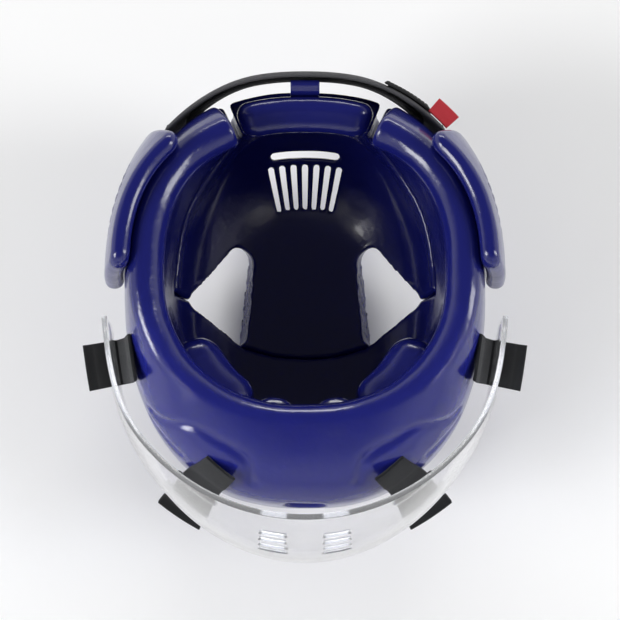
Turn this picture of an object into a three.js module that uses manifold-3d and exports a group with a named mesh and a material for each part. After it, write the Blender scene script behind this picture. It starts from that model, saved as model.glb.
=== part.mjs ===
// Taekwondo headgear with a clear face shield, lying on its crown with the head opening up.
// Millimetres. It is worked out in head axes: +X across, -Y to the face, +Z out of the opening,
// with Z = 0 at the rim. The last lines turn it to how it rests and put it on the floor.
import * as THREE from "three";
import { mergeVertices } from "three/addons/utils/BufferGeometryUtils.js";
import Module from "manifold-3d";

const wasm = await Module();
wasm.setup();

// Driving dimensions of the padded shell.
const shell = {
  sideReach: 104,
  frontReach: 127,
  backReach: 119,
  equatorDepth: 62,
  crownDepth: 99,
  planPower: 2.35,
  crownPower: 2.4,
};
const rim = {
  sideReach: 94,
  frontReach: 75,
  backReach: 86,
  frontHeight: -16,
  sideHeight: 6,
  backHeight: 0,
};
const wall = { pad: 20, crown: 14, back: 10, brow: 41 };
const clearance = 0.35;
const padClearance = 0.7;
const rest = { lean: 5, land: 1 };
const cutSpare = 15;

const colours = { vinyl: 0x2a2f78, knit: 0x3a3a3d, webbing: 0x141518, clear: 0xf2f4f6, tag: 0xd9263a };

const rad = THREE.MathUtils.degToRad;
const deg = THREE.MathUtils.radToDeg;
const lerp = THREE.MathUtils.lerp;
const smoothstep = THREE.MathUtils.smoothstep;

// Reach of a rounded plan outline at an azimuth counted from the front.
function planReach(azimuth, size) {
  const across = Math.abs(Math.sin(azimuth)) / size.sideReach;
  const along = Math.abs(Math.cos(azimuth)) / (Math.cos(azimuth) > 0 ? size.frontReach : size.backReach);
  return (across ** shell.planPower + along ** shell.planPower) ** (-1 / shell.planPower);
}

// Height of the rim at an azimuth: low at the brow, high beside the ears.
function rimHeight(azimuth) {
  const end = Math.cos(azimuth) > 0 ? rim.frontHeight : rim.backHeight;
  return lerp(rim.sideHeight, end, Math.cos(azimuth) ** 2);
}

// Polar angle of the rim, counted from straight down at the crown.
function rimPolar(azimuth) {
  return Math.PI / 2 + Math.atan2(rimHeight(azimuth) + shell.equatorDepth, planReach(azimuth, rim));
}

// Point of the shell's outer face in the direction of an azimuth and a polar angle.
function outerPoint(azimuth, polar) {
  const reach = planReach(azimuth, shell);
  const below = polar < Math.PI / 2;
  const power = below ? shell.crownPower : shell.planPower;
  let depth = shell.crownDepth;
  if (!below) {
    const rise = rimHeight(azimuth) + shell.equatorDepth;
    depth = rise / (1 - (planReach(azimuth, rim) / reach) ** power) ** (1 / power);
  }
  const level = Math.sin(polar) / reach;
  const plumb = Math.abs(Math.cos(polar)) / depth;
  const r = (level ** power + plumb ** power) ** (-1 / power);
  const flat = r * Math.sin(polar);
  return new THREE.Vector3(
    flat * Math.sin(azimuth),
    -flat * Math.cos(azimuth),
    -r * Math.cos(polar) - shell.equatorDepth,
  );
}

// Unit vectors on the outer face: outwards, and along the face towards the rim.
function outerFrame(azimuth, polar) {
  const step = 0.01;
  const at = Math.max(polar, 0.03);
  const toRim = outerPoint(azimuth, at + step).sub(outerPoint(azimuth, at - step)).normalize();
  const around = outerPoint(azimuth + step, at).sub(outerPoint(azimuth - step, at)).normalize();
  const out = new THREE.Vector3().crossVectors(around, toRim).normalize();
  if (polar < 0.001) out.set(0, 0, -1);
  return { out, toRim };
}

// Point at a depth below the outer face, or above it where the depth is negative.
function shellPoint(azimuth, polar, depth) {
  return outerPoint(azimuth, polar).addScaledVector(outerFrame(azimuth, polar).out, -depth);
}

// Thickness of the foam: thin at the crown and back, thick at the sides and thickest in the forehead.
function wallAt(azimuth, share) {
  const behind = Math.max(0, -Math.cos(azimuth)) ** 4;
  const thin = lerp(wall.crown, wall.back, behind * smoothstep(share, 0, 0.3));
  const side = lerp(thin, wall.pad, smoothstep(share, lerp(0.35, 0.66, behind), lerp(0.65, 0.85, behind)));
  const facing = Math.max(0, Math.cos(azimuth)) ** 1.5;
  const height = smoothstep(share, 0.35, 0.7) * (1 - smoothstep(share, 0.8, 1));
  return side + (wall.brow - wall.pad) * facing * height;
}

// Closed mesh from rows of points: each row is a closed ring, and the two ends are poles.
function ringSolid(firstPole, rings, lastPole) {
  const count = rings[0].length;
  const points = [firstPole, ...rings.flat(), lastPole];
  const last = points.length - 1;
  const faces = [];
  for (let i = 0; i < count; i++) {
    const next = (i + 1) % count;
    faces.push(0, 1 + next, 1 + i);
    faces.push(last, last - count + i, last - count + next);
    for (let r = 0; r < rings.length - 1; r++) {
      const a = 1 + r * count;
      const b = a + count;
      faces.push(a + i, a + next, b + next, a + i, b + next, b + i);
    }
  }
  return meshOf(points, faces);
}

function meshOf(points, faces) {
  const geometry = new THREE.BufferGeometry().setFromPoints(points);
  geometry.setIndex(faces);
  return geometry;
}

// Closed slab over a grid of two parameters from -1 to 1. place(u, v, w) gives the point, with w
// from -1 at the back to 1 at the front, and swell(u, v) narrows w towards the slab's edges.
function slab(place, stepsU, stepsV, swell = () => 1) {
  const points = [];
  const faces = [];
  const rows = stepsV + 1;
  const size = (stepsU + 1) * rows;
  for (const side of [1, -1]) {
    for (let i = 0; i <= stepsU; i++) {
      for (let j = 0; j <= stepsV; j++) {
        const u = (2 * i) / stepsU - 1;
        const v = (2 * j) / stepsV - 1;
        points.push(place(u, v, side * swell(u, v)));
      }
    }
  }
  for (let i = 0; i < stepsU; i++) {
    for (let j = 0; j < stepsV; j++) {
      const a = i * rows + j;
      faces.push(a, a + rows, a + rows + 1, a, a + rows + 1, a + 1);
      const b = a + size;
      faces.push(b, b + rows + 1, b + rows, b, b + 1, b + rows + 1);
    }
  }
  const edge = (a, b) => faces.push(a, b, b + size, a, b + size, a + size);
  for (let i = 0; i < stepsU; i++) {
    edge((i + 1) * rows, i * rows);
    edge(i * rows + stepsV, (i + 1) * rows + stepsV);
  }
  for (let j = 0; j < stepsV; j++) {
    edge(j, j + 1);
    edge(stepsU * rows + j + 1, stepsU * rows + j);
  }
  return meshOf(points, faces);
}

// Solid of a mesh for joining and cutting, turned face out whichever way it was wound.
function solidOf(geometry) {
  const bare = geometry.clone();
  bare.deleteAttribute("normal");
  bare.deleteAttribute("uv");
  const merged = mergeVertices(bare, 1e-3);
  const index = merged.index.array;
  const place = merged.attributes.position.array;
  const kept = [];
  for (let i = 0; i < index.length; i += 3) {
    const [a, b, c] = [index[i], index[i + 1], index[i + 2]];
    if (a !== b && b !== c && a !== c) kept.push(a, b, c);
  }
  const build = (triVerts) =>
    new wasm.Manifold(new wasm.Mesh({ numProp: 3, vertProperties: place, triVerts }));
  const made = build(new Uint32Array(kept));
  return made.volume() > 0 ? made : build(new Uint32Array(kept.reverse()));
}

function geometryOf(solid) {
  const mesh = solid.getMesh();
  const geometry = new THREE.BufferGeometry();
  geometry.setAttribute("position", new THREE.BufferAttribute(new Float32Array(mesh.vertProperties), 3));
  geometry.setIndex(new THREE.BufferAttribute(new Uint32Array(mesh.triVerts), 1));
  return geometry;
}

// Edge rounding of a padded block: full over the middle and falling in an arc to nothing.
const softEdge = (power) => (u, v) => Math.sqrt((1 - Math.abs(u) ** power) * (1 - Math.abs(v) ** power));

// Grid steps drawn together towards the slab's edges, where its rounding is.
const crowd = (t) => Math.sin((t * Math.PI) / 2);

// The whole padded shell, before the crown holes and slits are cut.
function wholeShell() {
  const columns = 44;
  const rows = 8;
  const rimSteps = 4;
  const azimuths = Array.from({ length: columns }, (_, i) => (i / columns) * 2 * Math.PI);
  const ring = (place) => azimuths.map(place);
  const edgePolar = (azimuth) => rimPolar(azimuth) - wall.pad / 2 / shell.sideReach;
  const rings = [];
  for (let r = 1; r <= rows; r++) rings.push(ring((a) => shellPoint(a, edgePolar(a) * (r / rows), 0)));
  for (let s = 1; s < rimSteps; s++) {
    const turn = (s / rimSteps) * Math.PI;
    rings.push(
      ring((a) => {
        const { toRim } = outerFrame(a, edgePolar(a));
        const depth = (wall.pad / 2) * (1 - Math.cos(turn));
        return shellPoint(a, edgePolar(a), depth).addScaledVector(toRim, (wall.pad / 2) * Math.sin(turn));
      }),
    );
  }
  for (let r = rows; r >= 1; r--) {
    const share = r / rows;
    rings.push(ring((a) => shellPoint(a, edgePolar(a) * share, wallAt(a, share))));
  }
  return solidOf(ringSolid(shellPoint(0, 0, 0), rings, shellPoint(0, 0, wall.crown)));
}

// Cutter that leaves the crown a small level land to lie on.
function floorCutter() {
  const turn = new THREE.Matrix4().makeRotationX(rad(rest.lean));
  let lowest = Infinity;
  for (let polar = 0; polar < 45; polar++) {
    lowest = Math.min(lowest, outerPoint(0, rad(polar)).applyMatrix4(turn).z);
  }
  const size = 2 * shell.frontReach;
  const block = new THREE.BoxGeometry(size, size, size);
  block.translate(0, 0, lowest + rest.land - size / 2).applyMatrix4(turn.invert());
  return solidOf(block);
}

// Chart of the shell: x and y in degrees of polar angle from the crown, y towards the back.
function chartPoint(x, y, reach) {
  const polar = rad(Math.hypot(x, y));
  const azimuth = Math.atan2(x, -y);
  return new THREE.Vector3(
    reach * Math.sin(polar) * Math.sin(azimuth),
    -reach * Math.sin(polar) * Math.cos(azimuth),
    -reach * Math.cos(polar) - shell.equatorDepth,
  );
}
const cutReach = { inner: 30, outer: 230 };

// Cutter that runs straight out from the shell's centre through a strip between two chart lines.
function stripCutter(left, right) {
  const at = (u) => ((u + 1) / 2) * (left.length - 1);
  return solidOf(
    slab(
      (u, v, w) => {
        const i = Math.round(at(u));
        const [a, b] = [left[i], right[i]];
        const share = (v + 1) / 2;
        const reach = w > 0 ? cutReach.outer : cutReach.inner;
        return chartPoint(lerp(a[0], b[0], share), lerp(a[1], b[1], share), reach);
      },
      left.length - 1,
      3,
    ),
  );
}

// Slit of a width in mm along a chart line.
function slitCutter(route, widths) {
  const marks = route.map(([x, y]) => new THREE.Vector3(x, y, 0));
  const curve = new THREE.CatmullRomCurve3(marks, false, "centripetal");
  const steps = 14;
  const left = [];
  const right = [];
  for (let i = 0; i <= steps; i++) {
    const share = i / steps;
    const p = curve.getPoint(share);
    const t = curve.getTangent(share);
    const half = deg(lerp(widths[0], widths[1], share) / 2 / shell.sideReach);
    left.push([p.x - t.y * half, p.y + t.x * half]);
    right.push([p.x + t.y * half, p.y - t.x * half]);
  }
  return stripCutter(left, right);
}

// Cutter through a rounded outline on the chart.
function outlineCutter(corners, radius) {
  const shape = new THREE.Shape();
  corners.forEach((corner, i) => {
    const here = new THREE.Vector2(...corner);
    const before = new THREE.Vector2(...corners[(i + corners.length - 1) % corners.length]);
    const after = new THREE.Vector2(...corners[(i + 1) % corners.length]);
    const reach = Math.min(radius, here.distanceTo(before) / 2.2, here.distanceTo(after) / 2.2);
    const start = here.clone().add(before.sub(here).setLength(reach));
    const end = here.clone().add(after.sub(here).setLength(reach));
    if (i) shape.lineTo(start.x, start.y);
    else shape.moveTo(start.x, start.y);
    shape.quadraticCurveTo(here.x, here.y, end.x, end.y);
  });
  shape.closePath();
  const outline = shape.getPoints(3).slice(0, -1);
  const clean = outline.filter((p, i) => i === 0 || p.distanceTo(outline[i - 1]) > 1e-6);
  if (THREE.ShapeUtils.area(clean) < 0) clean.reverse();
  const faces = [];
  const count = clean.length;
  for (const [a, b, c] of THREE.ShapeUtils.triangulateShape(clean, [])) {
    faces.push(a, c, b, a + count, b + count, c + count);
  }
  for (let i = 0; i < count; i++) {
    const next = (i + 1) % count;
    faces.push(i, next, next + count, i, next + count, i + count);
  }
  const reaches = [cutReach.inner, cutReach.outer];
  const points = reaches.flatMap((reach) => clean.map((p) => chartPoint(p.x, p.y, reach)));
  return solidOf(meshOf(points, faces));
}

const mirrored = (list) => list.map(([x, y]) => [-x, y]);

// Crown holes, crease and slits, as points of the chart on the left half.
const crownHole = { corners: [[-24.7, -11.5], [-51, 5.5], [-27.5, 30], [-20.5, 26]], radius: 5 };
const crease = [[-29, -8], [-24, -11.4], [-12, -14.6], [0, -15.6], [12, -14.6], [24, -11.4], [29, -8]];
const seamRoute = [[-44, 7], [-50, 5.6], [-62, 6]];
const slitRoute = [
  [-61.6, 2], [-61.5, 14.7], [-55.5, 43.3], [-33.5, 74.6], [-41, 93], [-53, 118], [-62, 138],
];
const seamWidth = 0.8;
const slitWidths = [2.2, 5];

// Neck pad that closes the rim at the back.
const neckPad = {
  halfAngle: 22,
  lowPolar: 97,
  inset: 4.5,
  thickness: 21,
  edgePower: 8,
  cutSpread: 27,
  cutTo: 140,
  cutGap: 0.3,
};

// Row of plain vents over the back, below one long slot. They slant, higher inside than outside.
const backVents = {
  count: 7,
  pitch: 6.4,
  width: 3.4,
  polars: [39.5, 56.5],
  slotPolars: [59.2, 62.4],
  slotWidth: 42,
  slant: 3.6,
};

// Box-shaped cutter in shell coordinates, between two azimuths and two polar angles, in degrees.
function shellBlock(azimuthMid, azimuthHalf, polarMid, polarHalf, depths, steps = 2) {
  return solidOf(
    slab(
      (u, v, w) =>
        shellPoint(
          rad(azimuthMid + u * azimuthHalf),
          rad(polarMid + v * polarHalf),
          w > 0 ? depths[0] : depths[1],
        ),
      steps,
      2,
    ),
  );
}
const angleOf = (length, reach) => deg(length / reach);

// Cutter through the back wall between two azimuths, with polar angles that rise towards the inside.
function slantCutter(azimuthMid, azimuthHalf, polars, steps) {
  const through = cutSpare / wall.back;
  return solidOf(
    slab(
      (u, v, w) => {
        const azimuth = rad(azimuthMid + u * azimuthHalf);
        const polar = lerp(polars[0], polars[1], (v + 1) / 2);
        const outside = shellPoint(azimuth, rad(polar), 0);
        const inside = shellPoint(azimuth, rad(polar + backVents.slant), wall.back);
        return w > 0 ? outside.lerp(inside, -through) : inside.lerp(outside, -through);
      },
      steps,
      2,
    ),
  );
}

function backVentCutters() {
  const v = backVents;
  const reach = (shell.backReach - wall.back / 2) * Math.sin(rad((v.polars[0] + v.polars[1]) / 2));
  const vents = Array.from({ length: v.count }, (_, i) =>
    slantCutter(
      180 + angleOf((i - (v.count - 1) / 2) * v.pitch, reach),
      angleOf(v.width / 2, reach),
      v.polars,
      2,
    ),
  );
  const slotReach = (shell.backReach - wall.back / 2) * Math.sin(rad(v.slotPolars[0]));
  return [...vents, slantCutter(180, angleOf(v.slotWidth / 2, slotReach), v.slotPolars, 6)];
}

// Ear pads: a raised block each side, with a lens of upright slots.
const earPad = { azimuth: 111.5, halfAngle: 23.5, polar: 110, halfPolar: 15.5, height: 11.5, edgePower: 9 };
const earSlots = { count: 7, pitch: 6, width: 3.2, height: 24 };

function earPlace(side, u, v, height) {
  const azimuth = rad(side * (earPad.azimuth + crowd(u) * earPad.halfAngle));
  return shellPoint(azimuth, rad(earPad.polar + crowd(v) * earPad.halfPolar), -height);
}

function earPadSolid(side) {
  const place = (u, v, w) => earPlace(side, u, v, lerp(padClearance, earPad.height, (w + 1) / 2));
  return solidOf(slab(place, 10, 6, (u, v) => softEdge(earPad.edgePower)(crowd(u), crowd(v))));
}

function earCutters(side) {
  const reach = shell.sideReach;
  return Array.from({ length: earSlots.count }, (_, i) => {
    const share = (i - (earSlots.count - 1) / 2) / (earSlots.count / 2);
    return shellBlock(
      side * (earPad.azimuth + angleOf((i - (earSlots.count - 1) / 2) * earSlots.pitch, reach)),
      angleOf(earSlots.width / 2, reach),
      earPad.polar,
      angleOf((earSlots.height / 2) * Math.sqrt(1 - share ** 2), reach),
      [-earPad.height - cutSpare, wall.pad + cutSpare],
    );
  });
}

// Bare recess in the middle of the forehead.
const badge = { halfLength: 12, halfHeight: 6.5, depth: 5, polar: 88 };

// Pads inside the forehead, each with its place, half size and height, in degrees and mm.
const browPads = [
  { name: "brow_pad_left", azimuth: -48, halfAngle: 21, polar: 84, halfPolar: 18, height: 24 },
  { name: "brow_pad_mid_left", azimuth: -14, halfAngle: 10, polar: 84, halfPolar: 15, height: 20 },
  { name: "brow_pad_mid_right", azimuth: 14, halfAngle: 10, polar: 84, halfPolar: 15, height: 20 },
  { name: "brow_pad_right", azimuth: 48, halfAngle: 21, polar: 84, halfPolar: 18, height: 24 },
];

function innerWallAt(azimuth, polar) {
  return wallAt(azimuth, polar / (rimPolar(azimuth) - wall.pad / 2 / shell.sideReach));
}

function browPadSolid(pad) {
  const place = (u, v, w) => {
    const azimuth = rad(pad.azimuth + crowd(u) * pad.halfAngle);
    const polar = rad(pad.polar + crowd(v) * pad.halfPolar);
    const depth = innerWallAt(azimuth, polar) + padClearance + pad.height * ((1 - w) / 2);
    return shellPoint(azimuth, polar, depth);
  };
  return solidOf(slab(place, 7, 6, (u, v) => softEdge(4)(crowd(u), crowd(v))));
}

// Face shield: a clear sheet from the forehead out to a bulge and down to the chin.
const shield = {
  halfAngle: 77,
  topZ: -65,
  topSideZ: -48,
  bulgeZ: 17,
  chinZ: 100,
  chinSideZ: 34,
  topSide: shell.sideReach + 20,
  topFront: shell.frontReach + 8,
  bulgeSide: shell.sideReach + 12,
  bulgeFront: shell.frontReach + 36,
  chinSide: shell.sideReach,
  chinFront: shell.frontReach + 23,
  sidePinch: 0.06,
  sheet: 2.6,
};

// Centre of the sheet at a parameter angle from the front, and a share from top edge to chin edge.
function shieldPoint(angle, share) {
  const s = shield;
  const away = Math.abs(angle) / rad(s.halfAngle);
  const top = lerp(s.topZ, s.topSideZ, smoothstep(away, 0.4, 1.1));
  const low = lerp(s.chinSideZ, s.chinZ, Math.max(0, Math.cos((away * Math.PI) / 2)) ** 1.1);
  const z = lerp(top, low, share);
  const above = z < s.bulgeZ;
  const gone = Math.abs(z - s.bulgeZ) / (above ? s.bulgeZ - s.topZ : s.chinZ - s.bulgeZ);
  const pinch = 1 - s.sidePinch * smoothstep(away, 0.6, 1);
  const side = pinch * lerp(s.bulgeSide, above ? s.topSide : s.chinSide, gone ** 2);
  const front = lerp(s.bulgeFront, above ? s.topFront : s.chinFront, gone ** 2);
  return new THREE.Vector3(side * Math.sin(angle), -front * Math.cos(angle), z);
}

// Vectors on the sheet: around it, from the top edge to the chin, and outwards.
function shieldFrame(angle, share) {
  const step = 0.01;
  const around = shieldPoint(angle + step, share).sub(shieldPoint(angle - step, share)).normalize();
  const down = shieldPoint(angle, share + step).sub(shieldPoint(angle, share - step)).normalize();
  const out = new THREE.Vector3().crossVectors(around, down).normalize();
  down.crossVectors(out, around).normalize();
  return { around, down, out };
}

function shieldOffset(angle, share, height) {
  return shieldPoint(angle, share).addScaledVector(shieldFrame(angle, share).out, height);
}

// Straps that hold the shield, by the angle of each one's middle.
const strap = {
  width: 25,
  thickness: 1.9,
  slotFrom: 6,
  slotHeight: 7,
  slotSpare: 2,
  loopGap: 0.6,
  leafPolar: 12,
  leafPoints: 4,
  reachOut: 11,
};

// Points of the closed flap: share of its reach outwards, and strap thicknesses back to the edge.
const flapBends = [[0, 1.9], [0.3, 2], [0.65, 3], [1, 2.8]];
const shieldStraps = [
  { name: "shield_strap_side_left", angle: -71 },
  { name: "shield_strap_front_left", angle: -31 },
  { name: "shield_strap_front_right", angle: 31 },
  { name: "shield_strap_side_right", angle: 71 },
];

// Two windows of level slots before the mouth.
const mouthVents = { angle: 8, length: 19, count: 4, height: 4.4, fromShare: 0.66, toShare: 0.87 };

function shieldBlock(angleMid, halfLength, fromShare, toShare, steps = 2) {
  const mid = (fromShare + toShare) / 2;
  const reach = Math.hypot(shieldPoint(angleMid, mid).x, shieldPoint(angleMid, mid).y);
  return solidOf(
    slab(
      (u, v, w) => {
        const share = lerp(fromShare, toShare, (v + 1) / 2);
        return shieldOffset(angleMid + (u * halfLength) / reach, share, w * 2 * shield.sheet);
      },
      steps,
      1,
    ),
  );
}

// Length along the sheet of the whole share range at an angle.
function shieldDrop(angle) {
  const marks = Array.from({ length: 21 }, (_, i) => shieldPoint(angle, i / 20));
  return marks.slice(1).reduce((sum, p, i) => sum + p.distanceTo(marks[i]), 0);
}

function shieldSolid() {
  const place = (u, v, w) => shieldOffset(u * rad(shield.halfAngle), (v + 1) / 2, (w * shield.sheet) / 2);
  let solid = solidOf(slab(place, 26, 7));
  for (const { angle } of shieldStraps) {
    const drop = shieldDrop(rad(angle));
    const from = strap.slotFrom / drop;
    const to = (strap.slotFrom + strap.slotHeight) / drop;
    solid = solid.subtract(shieldBlock(rad(angle), strap.width / 2 + strap.slotSpare, from, to, 4));
  }
  const vents = mouthVents;
  const slotShare = vents.height / shieldDrop(rad(vents.angle));
  for (const side of [-1, 1]) {
    for (let i = 0; i < vents.count; i++) {
      const from = lerp(vents.fromShare, vents.toShare - slotShare, i / (vents.count - 1));
      solid = solid.subtract(shieldBlock(side * rad(vents.angle), vents.length / 2, from, from + slotShare));
    }
  }
  return solid;
}

// Band of even thickness along a flat route, as a shape to extrude over the strap's width.
function ribbonShape(route, thickness) {
  const points = route.map(([x, y]) => new THREE.Vector2(x, y));
  const sides = [[], []];
  points.forEach((p, i) => {
    const before = points[Math.max(i - 1, 0)];
    const after = points[Math.min(i + 1, points.length - 1)];
    const along = after.clone().sub(before).normalize();
    const across = new THREE.Vector2(-along.y, along.x).multiplyScalar(thickness / 2);
    sides[0].push(p.clone().add(across));
    sides[1].unshift(p.clone().sub(across));
  });
  return new THREE.Shape([...sides[0], ...sides[1]]);
}

// Height above the sheet and distance from its top edge of a point in the plane of an angle.
function sheetCoordinates(point, angle, drop) {
  let height = 0;
  let along = 0;
  for (let i = 0; i < 12; i++) {
    const { down, out } = shieldFrame(angle, along / drop);
    const miss = point.clone().sub(shieldOffset(angle, along / drop, height));
    height += miss.dot(out);
    along += miss.dot(down);
  }
  return [height, along];
}

function roundedRectangle(path, x0, y0, x1, y1, r) {
  path.moveTo(x0 + r, y0);
  path.lineTo(x1 - r, y0);
  path.quadraticCurveTo(x1, y0, x1, y0 + r);
  path.lineTo(x1, y1 - r);
  path.quadraticCurveTo(x1, y1, x1 - r, y1);
  path.lineTo(x0 + r, y1);
  path.quadraticCurveTo(x0, y1, x0, y1 - r);
  path.lineTo(x0, y0 + r);
  path.quadraticCurveTo(x0, y0, x0 + r, y0);
  return path;
}

// One shield strap: a loop round the sheet's top strip through its slot, a leaf laid on the shell
// and the closed flap that stands out in front. It is drawn flat and then bent with the sheet.
function strapSolid(angle) {
  const mid = rad(angle);
  const drop = shieldDrop(mid);
  const t = strap.thickness;
  const near = shield.sheet / 2 + strap.loopGap;
  const far = strap.slotFrom + (strap.slotHeight + t) / 2;
  const low = -strap.loopGap;
  const loop = roundedRectangle(new THREE.Shape(), -near - t, low - t, near + t, far, t);
  loop.holes.push(roundedRectangle(new THREE.Path(), -near, low, near, far - t, near / 2));
  const top = shieldPoint(mid, 0);
  const azimuth = Math.atan2(top.x, -top.y);
  const topPolar = Math.PI / 2 + Math.atan2(top.z + shell.equatorDepth, planReach(azimuth, shell));
  const leaf = [];
  for (let i = 0; i < strap.leafPoints; i++) {
    const polar = topPolar + rad(strap.leafPolar * (1 - i / strap.leafPoints / 1.5));
    leaf.push(sheetCoordinates(shellPoint(azimuth, polar, -(padClearance + t / 2)), mid, drop));
  }
  leaf.push([-near - t / 2, far - t]);
  const flap = flapBends.map(([out, back]) => [
    near + t * (out ? 1 : 0.5) + strap.reachOut * out,
    far - back * t,
  ]);
  const step = 0.01;
  const arc = shieldPoint(mid + step, 0).distanceTo(shieldPoint(mid - step, 0)) / (2 * step);
  const parts = [loop, ribbonShape(leaf, t), ribbonShape(flap, t * 2.2)].map((shape) => {
    const band = new THREE.ExtrudeGeometry(shape, {
      depth: strap.width,
      steps: 2,
      bevelEnabled: false,
      curveSegments: 2,
    });
    const place = band.attributes.position;
    for (let i = 0; i < place.count; i++) {
      const across = place.getZ(i) - strap.width / 2;
      const p = shieldOffset(mid + across / arc, place.getY(i) / drop, place.getX(i));
      place.setXYZ(i, p.x, p.y, p.z);
    }
    return solidOf(band);
  });
  return parts[0].add(parts[1]).add(parts[2]);
}

// Elastic strap round the back, with its bare end patch and the small folded tag.
const elastic = {
  width: 40,
  thickness: 3,
  midZ: -41,
  fromAngle: 136.5,
  toAngle: 223.5,
  standOff: 9,
  endGap: 2.35,
  upright: 0.25,
  tilt: 3.5,
};
const patch = { fromAngle: 143.8, toAngle: 158, thickness: 2.2, gap: 0.6 };

function elasticPoint(angle, acrossShare, height) {
  const azimuth = rad(angle);
  const mid = (elastic.fromAngle + elastic.toAngle) / 2;
  const away = Math.abs(angle - mid) / (elastic.toAngle - mid);
  const lift = (elastic.standOff - elastic.tilt * (acrossShare + 1)) * (1 - smoothstep(away, 0.3, 1));
  const z = elastic.midZ + (acrossShare * elastic.width) / 2;
  const polar = Math.PI / 2 + Math.atan2(z + shell.equatorDepth, planReach(azimuth, shell));
  const base = outerPoint(azimuth, polar);
  const reach = Math.hypot(base.x, base.y);
  const far = lerp(reach, planReach(azimuth, shell), elastic.upright) + lift + elastic.endGap + height;
  return new THREE.Vector3(far * Math.sin(azimuth), -far * Math.cos(azimuth), z);
}

function elasticSolid(from, to, baseHeight, thickness, widthShare) {
  const pitch = 5;
  return solidOf(
    slab(
      (u, v, w) =>
        elasticPoint(lerp(from, to, (u + 1) / 2), v * widthShare, baseHeight + thickness * ((w + 1) / 2)),
      Math.round((to - from) / pitch),
      widthShare > 0.75 ? 4 : 2,
    ),
  );
}

// Tab that runs from the neck pad to the elastic, and the folded tag on the elastic's end.
const tab = {
  width: 17,
  thickness: 3.2,
  height: -26,
  seat: [0.5, 0.36],
  bends: [0.4, 0.8],
  topShare: 0.4,
  endShare: -0.3,
  gap: 1.2,
};
const tag = { angle: 140.1, width: 12.6, reach: 11, fromMiddle: 17, droop: 0.35, thickness: 1.6 };
const innerStrap = { halfAngle: 36, thickness: 2.2, widthShare: 0.5, gap: 0.8 };

function tabSolid() {
  const azimuth = Math.PI;
  const seatDepth = neckPad.inset - clearance / 2 - tab.thickness / 2;
  const [foot, start] = tab.seat.map((below) => shellPoint(azimuth, rimPolar(azimuth) - below, seatDepth));
  const behind = -innerStrap.gap - innerStrap.thickness - tab.gap - tab.thickness / 2;
  const high = elasticPoint(180, tab.topShare, behind);
  const low = elasticPoint(180, tab.endShare, behind);
  const route = [
    [foot.y, foot.z],
    [start.y, start.z],
    [lerp(start.y, high.y, tab.bends[0]), lerp(start.z, tab.height, 0.8)],
    [lerp(start.y, high.y, tab.bends[1]), tab.height],
    [high.y, high.z],
    [low.y, low.z],
  ];
  const place = new THREE.Matrix4().makeBasis(
    new THREE.Vector3(0, 1, 0),
    new THREE.Vector3(0, 0, 1),
    new THREE.Vector3(1, 0, 0),
  );
  const band = new THREE.ExtrudeGeometry(ribbonShape(route, tab.thickness), {
    depth: tab.width,
    bevelEnabled: false,
  });
  return solidOf(band.translate(0, 0, -tab.width / 2).applyMatrix4(place));
}

function tagSolid() {
  const halfAngle = angleOf(tag.width / 2, shell.sideReach);
  return solidOf(
    slab(
      (u, v, w) => {
        const out = (tag.reach * (v + 1)) / 2;
        const across = (2 * (tag.fromMiddle - tag.droop * out) + w * tag.thickness) / elastic.width;
        return elasticPoint(tag.angle + u * halfAngle, across, elastic.thickness + clearance + out);
      },
      4,
      2,
    ),
  );
}

// Assembly.
const head = new THREE.Group();
function addPiece(name, solid, colour, roughness, extra = {}) {
  const material = new THREE.MeshStandardMaterial({ color: colour, roughness, metalness: 0, ...extra });
  const mesh = new THREE.Mesh(geometryOf(solid), material);
  mesh.name = name;
  head.add(mesh);
}

let body = wholeShell().subtract(floorCutter());
for (const side of [-1, 1]) {
  const turn = (list) => (side < 0 ? list : mirrored(list));
  body = body.subtract(outlineCutter(turn(crownHole.corners), crownHole.radius));
  body = body.subtract(slitCutter(turn(seamRoute), [seamWidth, seamWidth]));
  body = body.subtract(slitCutter(turn(slitRoute), slitWidths));
  for (const cutter of earCutters(side)) body = body.subtract(cutter);
}
body = body.subtract(slitCutter(crease, [seamWidth, seamWidth]));
const neckSpread = Array.from({ length: 9 }, (_, i) => lerp(-neckPad.cutSpread, neckPad.cutSpread, i / 8));
const neckLine = (polar) => neckSpread.map((a) => [polar * Math.sin(rad(a)), polar * Math.cos(rad(a))]);
body = body.subtract(stripCutter(neckLine(neckPad.lowPolar - neckPad.cutGap), neckLine(neckPad.cutTo)));
const [band, flap] = body.decompose().sort((a, b) => b.volume() - a.volume());
const recess = shellBlock(
  0,
  angleOf(badge.halfLength, shell.frontReach),
  badge.polar,
  angleOf(badge.halfHeight, shell.frontReach),
  [-cutSpare, badge.depth],
  4,
);
addPiece("front_band", band.subtract(recess), colours.vinyl, 0.2);
let back = flap;
for (const cutter of backVentCutters()) back = back.subtract(cutter);
addPiece("crown_flap", back, colours.vinyl, 0.2);

const neck = slab(
  (u, v, w) => {
    const azimuth = rad(180 + crowd(u) * neckPad.halfAngle);
    const low = rad(neckPad.lowPolar) + 0.004;
    const polar = lerp(low, rimPolar(azimuth) + 0.03, (crowd(v) + 1) / 2);
    return shellPoint(azimuth, polar, neckPad.inset + neckPad.thickness * ((1 - w) / 2));
  },
  10,
  6,
  (u, v) => softEdge(neckPad.edgePower)(crowd(u), crowd(v)),
);
addPiece("occipital_pad", solidOf(neck), colours.vinyl, 0.2);

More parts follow.
